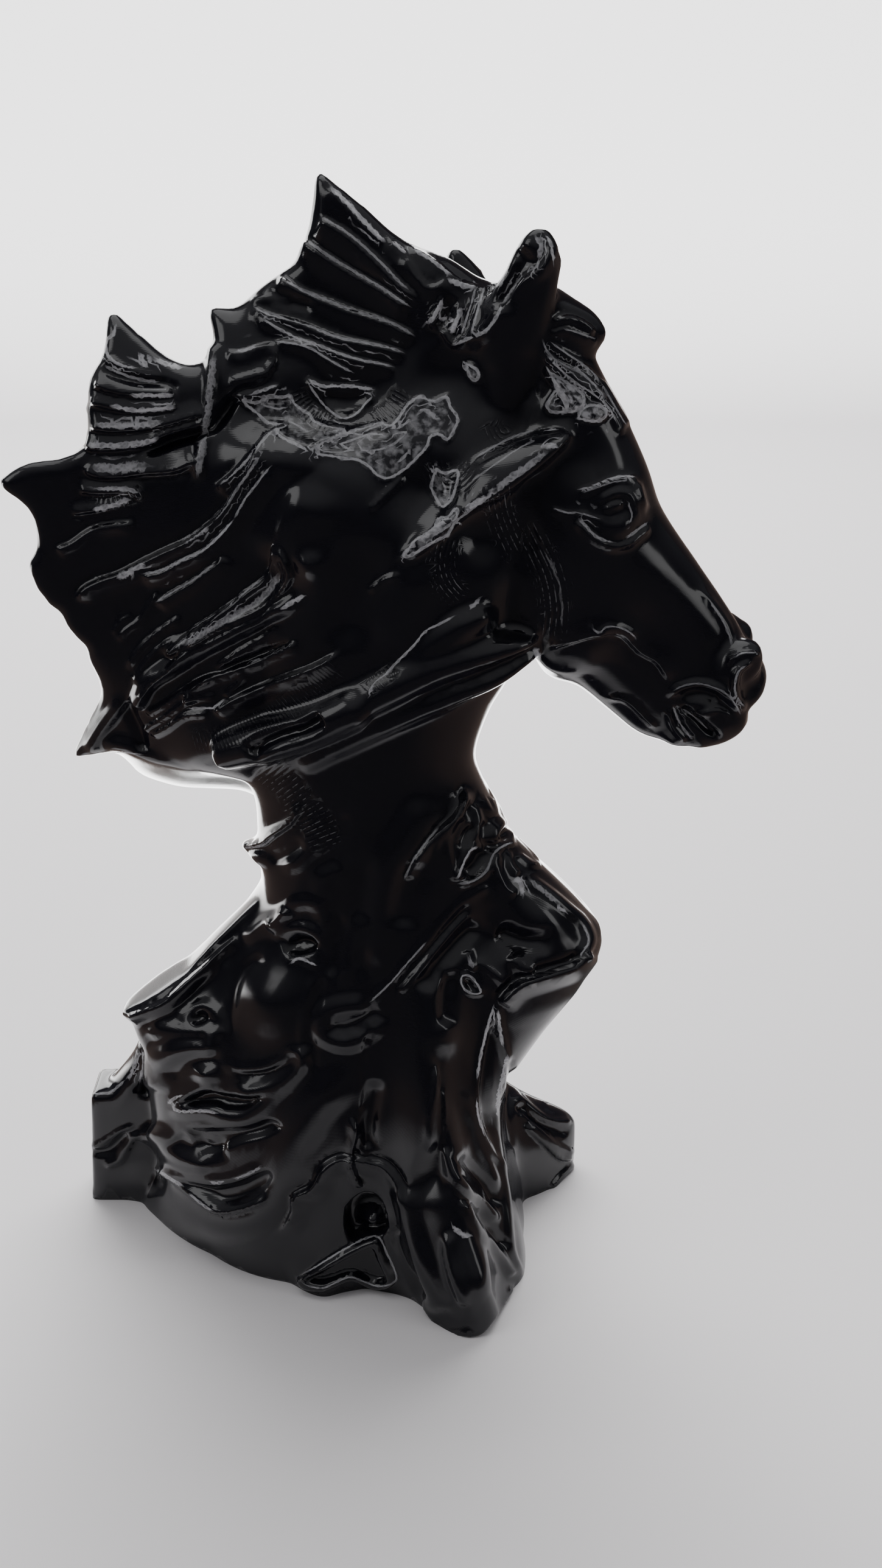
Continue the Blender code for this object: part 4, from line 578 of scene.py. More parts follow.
        ("lapR", 2.8, 1.3, 0.06, 0.06, [(-23.3, 120.9), (-20.7, 122.9), (-17.9, 124.7), (-14.8, 125.8),
            (-10.9, 127.1), (-6.8, 128.9), (-1.2, 131.7)]),
        ("groove", 1.0, 0.7, 0.1, 0.1, [(-17.1, 125.3), (-11.5, 127.5), (-6.8, 129.5), (-2.4, 131.2)]),
        ("lapR", 1.8, 0.8, 0.1, 0.1, [(-15.5, 121), (-13.4, 122.8), (-11.4, 125.3)]),
        ("lapR", 4.0, 1.6, 0.06, 0.15, [(-17.5, 118), (-15.1, 119.7), (-11.8, 121.4), (-7.1, 123.3),
            (-2.4, 125.1), (2.3, 127.1), (7.1, 130)]),
        ("lapR", 2.0, 1.1, 0.06, 0.08, [(-30.5, 117.7), (-26.9, 119.5), (-23.3, 122), (-20.3, 124),
            (-17.3, 125.2)]),
        ("lapR", 2.0, 1.1, 0.06, 0.08, [(-31.6, 113.9), (-28.1, 116.3), (-23.7, 119.4), (-20.7, 122)]),
        ("lapR", 2.0, 1.2, 0.06, 0.08, [(-29.9, 113.1), (-26.3, 115.1), (-22.4, 117.7), (-18, 118)]),
        ("ridge", 0.9, 0.6, 0.1, 0.1, [(-22.5, 120.2), (-19.7, 120.5), (-16.9, 120.9)]),
        ("lapR", 1.8, 1.0, 0.1, 0.1, [(-33.8, 126.3), (-31.7, 129.5), (-28.9, 132.3), (-25.9, 134.6),
            (-22.7, 136.8)]),
        ("lapR", 1.8, 1.0, 0.1, 0.1, [(-33, 123.4), (-30.8, 126.8), (-27.8, 130), (-25.2, 131.9),
            (-22.8, 132.8)]),
        ("lapR", 2.2, 1.1, 0.1, 0.15, [(-32.1, 119.7), (-29.5, 123.1), (-25.3, 126.8), (-21.4, 130.5),
            (-18.5, 134.1), (-16.1, 136.7), (-13.3, 140)]),
        ("lapR", 2.0, 1.0, 0.1, 0.1, [(-35.4, 131.9), (-33.3, 134.1), (-30.5, 136.1), (-28.3, 139.3),
            (-26.6, 141.7)]),
        ("lapR", 1.4, 0.8, 0.1, 0.1, [(-36, 133.1), (-34.2, 135.5), (-31.8, 136.9)]),
        ("groove", 1.8, 1.2, 0.1, 0.2, [(-31.6, 108.8), (-32.1, 112.9), (-33, 115.7), (-33.6, 117.9),
            (-32.4, 120.2)]),
        ("ridge", 2.0, 1.1, 0.2, 0.2, [(-42.7, 108.3), (-39.6, 113.4), (-36.3, 117.8), (-34.3, 120.9)]),
        ("ridge", 7.0, 1.2, 0.2, 0.1, [(-28.3, 108.3), (-20.5, 109.8), (-11.1, 110.6), (-4.1, 110.6),
            (4.2, 114), (12.4, 118.7)]),
        ("groove", 1.9, 2.6, 0.05, 0.05, [(-11, 108.8), (-7.6, 111.1), (-4, 112.6), (-0.5, 113.6),
            (3.3, 115.9)]),
        ("lapR", 1.6, 0.8, 0.1, 0.1, [(12.5, 156.9), (16.4, 160.9), (18.9, 163.4)]),
        ("lapR", 1.8, 0.9, 0.15, 0.1, [(11.7, 140.9), (15.1, 143.8), (17.9, 145)]),
        ("ridge", 1.0, 0.6, 0.1, 0.1, [(23.9, 189.6), (24.8, 191.5), (26, 194.2)]),
        ("ridge", 1.0, 0.6, 0.1, 0.1, [(27.5, 188.2), (28.4, 190.1), (29.2, 193.2)]),
        ("ridge", 0.9, 0.6, 0.1, 0.1, [(29.2, 187.7), (30.3, 191.1), (31.8, 196.4)]),
        ("ridge", 0.9, 0.6, 0.1, 0.1, [(30.9, 187.7), (31.9, 191.7), (33.2, 196.3)]),
        ("groove", 1.2, 0.7, 0.1, 0.1, [(25.4, 188.2), (26.5, 190.9), (27.8, 194)]),
        ("lap", 1.8, 1.4, 0.06, 0.06, [(23.1, 189.3), (25.4, 188.3), (27.5, 185.8), (30.5, 187.1),
            (33.4, 188.6), (35.1, 190.7), (36.3, 193)]),
        ("lapR", 3.0, 1.0, 0.2, 0.2, [(19.5, 202), (22.1, 197.5), (24.4, 196), (26.8, 197.8)]),
        ("ridge", 7.0, 1.6, 0.3, 0.3, [(-7, 146), (0, 155), (5, 162)]),
        ("groove", 7.0, 1.6, 0.3, 0.3, [(7, 128), (10, 140), (12, 152)]),
        ("ridge", 6.0, 1.0, 0.3, 0.3, [(16, 128), (20, 140), (22, 148)]),
    ],
    "scuffs": [
        (0.4, [(-9.3, 176.7), (-8, 176.3), (-6.8, 176), (-5.2, 176.8), (-3.7, 177.1), (-2.2, 177),
            (-0.9, 177.3), (-0.1, 175.8), (1.6, 174.5), (2.6, 173.9), (3.2, 172.8), (5.8, 171.9),
            (8.4, 171.6), (6.3, 169.5), (4.6, 168.8), (3.1, 167.8), (1.1, 168), (-0.4, 168.9),
            (-1.9, 169.5), (-3.4, 170.7), (-2.9, 171.6), (-1.9, 172.1), (-4.9, 172.5), (-5.8, 173.3),
            (-6.6, 174.1), (-8.3, 175.4)]),
        (0.4, [(3.5, 166.9), (4.3, 168.7), (5.8, 169.4), (7.9, 170.2), (10.1, 171.1), (12.3, 171.7),
            (14.6, 172.6), (16.8, 171.9), (17.7, 172.8), (18.5, 173.8), (19.2, 174.9), (20.1, 176),
            (22, 177.2), (23.3, 176.6), (24.8, 176.3), (26.1, 177.1), (26.9, 177.2), (27.1, 176),
            (27.6, 174.9), (28.7, 173.3), (28, 171.3), (26.8, 169.5), (25.4, 170.6), (23.7, 170),
            (23.4, 168.7), (22.8, 167.8), (21.9, 166.8), (21.3, 166.2), (20.2, 165.1), (19.3, 164.3),
            (17.3, 163), (15.8, 162.5), (14.9, 162.8), (14.1, 163.2), (13.4, 164.1), (12.6, 164.9),
            (10.5, 166), (8.7, 166), (6.9, 166.5)]),
        (0.45, [(24.8, 164.3), (25.6, 163.7), (26.5, 163.4), (27.6, 163.8), (28.7, 164), (28.7, 162.5),
            (28.3, 160.9), (27.6, 158.7), (26.1, 157.3), (25.3, 158), (24.8, 158.9), (24.2, 160),
            (23.9, 160.9)]),
        (0.3, [(18.5, 147.9), (19.2, 148.9), (19.9, 149.6), (21.2, 151.2), (23, 152.1), (24.6, 153.6),
            (25.4, 155.3), (26.9, 155.3), (28.3, 157), (28.7, 156.2), (28, 154.2), (27.4, 152.8),
            (26.9, 151.9), (25.2, 151.2), (23.5, 150.2), (22.1, 149.4), (20.7, 148.4), (19.6, 148)]),
    ],
    # pale lines along edges: partly rubbed wear, partly painted highlights where the edges catch the light
    "wearAndHighlights": [
        (1.0, 0.8, [(7.1, 212.2), (10.4, 209.1), (13.1, 206.2), (16.4, 203.2)]),
        (0.8, 0.6, [(17.5, 203.4), (19.8, 201.5)]),
        (0.9, 0.7, [(21.1, 202.2), (24.7, 200), (27.5, 197.8)]),
        (1.0, 1.0, [(26.9, 197.4), (29.4, 196.2), (31.7, 196.4)]),
        (0.7, 0.45, [(5.2, 207.5), (8.8, 205.5), (11.3, 203.7), (13.8, 201.5), (16.4, 199), (18.5, 196.8),
            (20.5, 195.2)]),
        (0.8, 0.5, [(2.5, 203.8), (6.6, 201), (10.7, 198.5), (14.8, 196.2), (17.9, 194.2), (20.7, 192.4)]),
        (0.8, 0.5, [(-2.1, 197.8), (-0.3, 196.7), (2.2, 195.2), (5.3, 194), (7.4, 193.2), (10.5, 192),
            (14.7, 190.7), (17.9, 189.5), (21.4, 187.5)]),
        (0.8, 0.45, [(-6.8, 192.7), (-4.2, 191.4), (-1.1, 190.6), (2.1, 189.7), (5.2, 188.4), (8.3, 187.3),
            (12.5, 186.5), (16.7, 185.6), (19.7, 184.6)]),
        (0.8, 0.45, [(-5.8, 190.9), (-2.2, 188.8), (0.9, 187.2), (4.1, 186.2), (7.2, 184.9), (11.4, 183.6),
            (14.6, 183), (17.8, 182.2)]),
        (0.7, 0.4, [(-3.3, 186.7), (-0.2, 186.4), (3, 185.5), (6.1, 183.6), (8.2, 182.4), (10.6, 181.2)]),
        (1.0, 0.6, [(2.3, 180.3), (4.9, 179), (9.7, 179), (14.1, 178.3)]),
        (0.9, 0.4, [(2.3, 179.6), (3.8, 177.3), (5.3, 175.4), (7.1, 173.9), (8.6, 173.3), (10.7, 174.1),
            (12.6, 176.2), (14, 177.5)]),
        (0.9, 1.3, [(-26.9, 184.7), (-26.2, 183), (-25.5, 182.2)]),
        (1.0, 0.9, [(-24.7, 183.9), (-22.1, 182.8), (-19.5, 182.2)]),
        (0.8, 0.6, [(-30.6, 189.7), (-31.1, 187.8), (-32.5, 186.8), (-32.3, 184.2), (-30.1, 182.6),
            (-27.5, 182.1)]),
        (0.8, 0.55, [(-33.1, 182.6), (-30.2, 181.1), (-26.5, 180), (-23.7, 179.7)]),
        (0.9, 0.8, [(-28.9, 177.4), (-25.1, 177.3), (-21.3, 177.4)]),
        (0.9, 0.8, [(-32.8, 175.6), (-28.5, 174.7), (-24.8, 174.9), (-21, 175.3)]),
        (0.8, 1.1, [(-35.7, 172.2), (-32, 172), (-27.7, 172.1), (-23.7, 172.6)]),
        (0.8, 1.1, [(-37.5, 168.5), (-31.2, 168.5), (-26.3, 169.2), (-24.4, 170)]),
        (0.65, 1.7, [(-36.9, 164.5), (-31.5, 164.4), (-26.9, 164.9)]),
        (0.8, 0.8, [(-37.1, 160.5), (-31.8, 160.6), (-28.8, 160)]),
        (0.8, 1.0, [(-37.4, 156.7), (-34.3, 157.3), (-30.4, 158.7)]),
        (0.5, 1.2, [(-13.8, 184.7), (-15, 177.3), (-16.5, 169.7), (-18.1, 162.6)]),
        (0.8, 0.5, [(-10.3, 185), (-8.5, 185.2), (-5.9, 186.2)]),
        (0.7, 0.6, [(-8.2, 177.6), (-5.6, 178.2), (-3, 179.2)]),
        (0.6, 0.5, [(-14.2, 161.3), (-9.7, 165.1), (-5.1, 170.3), (-2.2, 172)]),
        (0.6, 1.0, [(-21.5, 150.7), (-19.2, 151.9), (-16.6, 153.5)]),
        (0.8, 1.3, [(-34, 143.8), (-31.3, 145), (-28.6, 146.6)]),
        (0.5, 0.5, [(-16.3, 154.2), (-13.6, 156.9), (-11.2, 160.4), (-8.1, 164.5), (-5.7, 168.4)]),
        (0.9, 0.5, [(-29.5, 144.6), (-25.7, 145.3), (-21.7, 147.3), (-17.7, 149.2), (-14.1, 152.5),
            (-11.8, 155.1)]),
        (0.6, 0.4, [(-11.8, 155.1), (-9.7, 158.7), (-7.2, 161.8), (-4.7, 164.9)]),
        (0.7, 0.4, [(-27.3, 139.1), (-23.7, 141.3), (-20.2, 143.3), (-17.3, 145.5), (-15.5, 146.7)]),
        (0.5, 1.1, [(-22.7, 130.5), (-16.8, 134.3), (-11, 137.5), (-6.3, 141.2), (-3.9, 145)]),
        (0.7, 0.4, [(-26, 129), (-22.6, 132.2), (-19.1, 134.9), (-14.4, 137.9), (-10.2, 141.4),
            (-6.8, 144)]),
        (0.9, 0.9, [(-4, 137.8), (-2.1, 139.1), (0.4, 140.4)]),
        (0.6, 0.4, [(-10.9, 126.9), (-6.8, 128.8), (-2.2, 131.2)]),
        (0.9, 0.5, [(-22.4, 117.9), (-18.3, 118), (-17.5, 118.2), (-15.3, 119.7)]),
        (0.9, 0.8, [(23.5, 189.7), (24.8, 191.5), (26, 193.8)]),
        (0.9, 0.9, [(25.6, 190.3), (26.6, 190.9)]),
        (1.0, 0.9, [(27.3, 188.1), (28.4, 190.1), (29.1, 192.5)]),
        (0.7, 0.4, [(29.2, 187.8), (30.3, 191.1), (31.8, 196.2)]),
        (0.7, 0.4, [(30.9, 187.8), (31.9, 191.7), (33.2, 196)]),
        (0.8, 0.45, [(27.5, 186), (30.5, 187.1), (33.4, 188.6), (35.1, 190.7), (36.3, 193)]),
        (0.9, 0.45, [(13.9, 123.4), (17.2, 127.1), (20.6, 130.7), (22.9, 133.6), (25.4, 134.9),
            (28.6, 136.7)]),
        (0.9, 0.7, [(18.3, 148), (20.3, 149.6), (23, 151.9), (25.4, 153.9), (27.4, 155.8)]),
        (0.9, 0.8, [(31.1, 138), (32.9, 139.6)]),
        (0.9, 1.0, [(30, 156.9), (32.9, 158.5), (35.7, 160.3)]),
        (0.6, 1.0, [(34, 159.4), (39.4, 163.6), (44.8, 167.3)]),
        (0.8, 0.4, [(-5.9, 175.8), (-3.6, 174.9), (-1.6, 175.4)]),
        (0.7, 0.35, [(-1.7, 173), (0.6, 171.9), (2.3, 170.6), (3.5, 169.3)]),
        (0.8, 0.4, [(6.2, 168.1), (10, 169.5), (13.5, 170.6), (16.6, 170.2)]),
        (0.7, 0.4, [(12.2, 167.3), (14.9, 167.8), (17.6, 168.9), (19.6, 171.1), (20.5, 173)]),
        (0.7, 0.35, [(7.8, 167.3), (11.1, 167.8), (13.2, 166.5), (15.4, 164.5)]),
        (0.8, 0.4, [(21.3, 174.5), (23.1, 174.9), (24.8, 174.1), (26.1, 172.6)]),
        (0.7, 0.4, [(17.6, 165.1), (19.6, 167.1), (20.9, 169.5)]),
        (0.8, 0.5, [(16.6, 171.5), (18.7, 171.9), (20.5, 173.4)]),
        (0.7, 0.4, [(25.6, 162), (26.5, 160.9), (26.3, 159.2)]),
        (0.8, 0.35, [(1.7, 167.3), (4.6, 168.9), (7.9, 170.5), (12.3, 171.9), (14.6, 172.8)]),
        (0.9, 0.4, [(12, 120.9), (12.7, 122.6), (14.2, 124.1)]),
        (0.6, 0.35, [(-40.6, 108.5), (-35.8, 108.8), (-32.1, 108.3)]),
    ],
    # Fine hair lines: bumped, and painted with a pale highlight line along each
    "combs": [
        ("across", 0.9, 0.8, 2.2, [(-0, 178.4), (0.6, 176.8), (1.9, 174.9), (3.9, 173.2), (6.3, 172.1)]),
        ("across", 0.9, 0.8, 2.0, [(13.6, 172.4), (15.7, 174.1), (17.5, 176), (19, 178.4)]),
        ("across", 0.22, 0.7, 3.2, [(-24, 110.6), (-16.9, 112.1), (-9.8, 114.4), (-3.8, 117.8),
            (2.1, 122.4), (6.9, 127.8)]),
        ("across", 1.0, 0.8, 1.8, [(11.3, 121.4), (14.2, 123.6), (17.4, 126.3)]),
        ("across", 1.0, 0.9, 1.5, [(-37.4, 158.9), (-34.2, 158), (-31.4, 158.7), (-27.7, 160.3)]),
        ("across", 0.8, 0.9, 1.5, [(23.1, 193), (25.4, 190.9), (27.9, 189.4)]),
        ("along", 0.8, 0.9, 3.0, [(27.2, 151.9), (26.1, 147.3), (26.9, 143.2), (29.7, 139.7)]),
        ("along", 0.8, 0.85, 2.6, [(24.7, 165.9), (25.4, 162.6), (27.2, 161.3), (29.3, 162.3),
            (31.5, 164.8)]),
        ("along", 0.7, 0.8, 2.2, [(34.7, 173), (35.3, 170.8), (36.7, 169.5), (38.8, 170.2)]),
        ("along", 0.6, 1.0, 3.4, [(35.6, 162), (36.4, 156.4), (38.1, 151.9), (39.9, 148.2)]),
        ("along", 0.6, 1.1, 3.4, [(40.9, 154.2), (43.6, 149), (45.9, 143.8), (46.9, 137.9), (46.6, 131.9)]),
        ("across", 0.6, 1.1, 4.0, [(-8.9, 107), (-3.3, 100.5), (1.2, 93.7), (4.1, 87.2)]),
    ],
    "swells": [
        (-0.4, 165.5, 7.5, 3.4, 8, 1.2), (2.3, 146.7, 1.9, 2.2, 0, 1.3),
        (-8, 175, 6, 4, 0, -1.6), (0, 160, 9, 11, -20, 2.0), (2, 146, 5, 6, 0, 1.4),
        (24, 160, 7, 6, 30, -3.0),
        (26, 181, 7, 6, 0, -2.6), (10, 176, 12, 5, 0, -1.6), (-20, 116, 12, 6, 10, 1.4),
        (34, 151, 5, 5, 30, -2.2),
    ],
}


def maneHalf(drawn):                       # full beside the neck, thin at the tips, slim above the ledge
    tip, beside, above = mane["thickness"]
    distance, _, _ = nearestOnPath(drawn, smoothPath(mane["neckSpine"]))
    besideReach, aboveReach = mane["reaches"]
    rise, ledge, soft = mane["ledge"]
    full = tip + beside * np.exp(-(distance / besideReach) ** 2)
    slim = tip + above * np.exp(-(distance / aboveReach) ** 2)
    overLedge = ease((drawn[:, 1] - rise * drawn[:, 0] - ledge) / soft)
    return full + (slim - full) * overLedge


def maneDepth(drawn):                      # the upper fan leans away, and the middle tips come near
    x, z = drawn[:, 0], drawn[:, 1]
    fanFoot, fanHigh, fanRight, fanWide, lean = mane["fan"]
    tipsRight, tipsWide, nearer = mane["tips"]
    lowTop, lowHigh, away = mane["lowTips"]
    out = np.clip((tipsRight - x) / tipsWide, 0, 1)
    top = ease((z - fanFoot) / fanHigh)
    low = ease((lowTop - z) / lowHigh)
    left = np.clip((fanRight - x) / fanWide, 0, 1)
    return middle + lean * top * left - nearer * out * (1 - top) + away * out * low


def makeMane():
    plate("mane", mane["edge"], maneDepth, maneHalf)
    start, deeper, over, half = mane["undersideDepth"]
    top = np.array(mane["undersideTop"])

    def depthAt(drawn):
        below = np.interp(drawn[:, 0], top[:, 0], top[:, 1]) - drawn[:, 1]
        return start + deeper * np.clip(below / over, -0.2, 1.15)

    plate("maneUnderside", mane["underside"], depthAt, lambda drawn: half + 0 * drawn[:, 0])
    lock("napeSpike", mane["napeSpike"])


# The locks that cross the neck behind the cheek, and the forelock
locks = {
    "upper": [
        (14, 145, -6, 3.0, 2.0, 5.0), (22, 151.3, -8.5, 5.0, 1.6, 6.5), (29, 156.2, -9.5, 6.4, 1.8, 6.5),
        (36, 161.0, -9.5, 6.0, 1.8, 6.0), (42, 165.4, -9.0, 4.6, 1.6, 5.2),
        (46.5, 168.6, -8.5, 2.6, 1.2, 4.2), (48.7, 170.4, -8.2, 1.0, 0.8, 2.6),
    ],
    "roll": [
        (-16, 108.5, -6, 2.6, 2.4, 4.0), (-6, 112.3, -8.8, 3.4, 3.2, 4.6), (5, 117, -10.0, 3.9, 3.6, 5.2),
        (15, 122.4, -10.5, 4.1, 3.8, 5.6), (24, 126.8, -10.0, 3.9, 3.4, 5.6),
        (32, 129.4, -9.2, 3.3, 2.8, 5.4), (39, 131.3, -8.0, 2.3, 1.8, 4.8),
        (43.0, 132.3, -6.8, 0.9, 0.9, 3.0),
    ],
    "underRoll": [
        (0, 107.5, -7.5, 2.2, 2.2, 4.0), (9, 112.6, -9.0, 3.0, 2.6, 4.2), (19, 117.8, -9.4, 3.2, 2.8, 4.4),
        (28, 121.8, -8.6, 3.0, 2.6, 4.6), (36, 125.2, -7.0, 2.2, 2.0, 4.6),
        (43, 129.4, -5.0, 1.0, 1.0, 3.2),
    ],
    "web": [
        (12, 120, -8.5, 2.0, 2.0, 4.0), (19, 127, -9.5, 3.6, 3.0, 4.6), (25, 132.6, -10, 3.8, 4.6, 4.8),
        (30.5, 136.5, -10, 2.6, 5.0, 4.6), (34.5, 138.0, -9, 1.0, 4.0, 3.4),
    ],
    "forelock": [
        [(44, 197), (46, 195.8), (48.5, 194.2), (52.3, 191.7), (54.7, 188.6)],
        [(54.5, 187.2), (52.8, 184.8), (52.0, 182.4), (52.7, 180.2), (54.3, 178.2), (57.5, 173.8)],
        [(50, 168), (41, 178), (41, 190)],
    ],
}


def makeLocks():
    lock("upperLock", locks["upper"], square=1.25, bothSides=True)
    lock("rollLock", locks["roll"], bothSides=True)
    lock("underRoll", locks["underRoll"], bothSides=True)
    lock("webLock", locks["web"], square=1.2, bothSides=True)
    plate("forelock", locks["forelock"], lambda drawn: 2.0 + 0 * drawn[:, 0],
          lambda drawn: 2.4 + 6.0 * np.clip((54 - drawn[:, 0]) / 12, 0, 1))


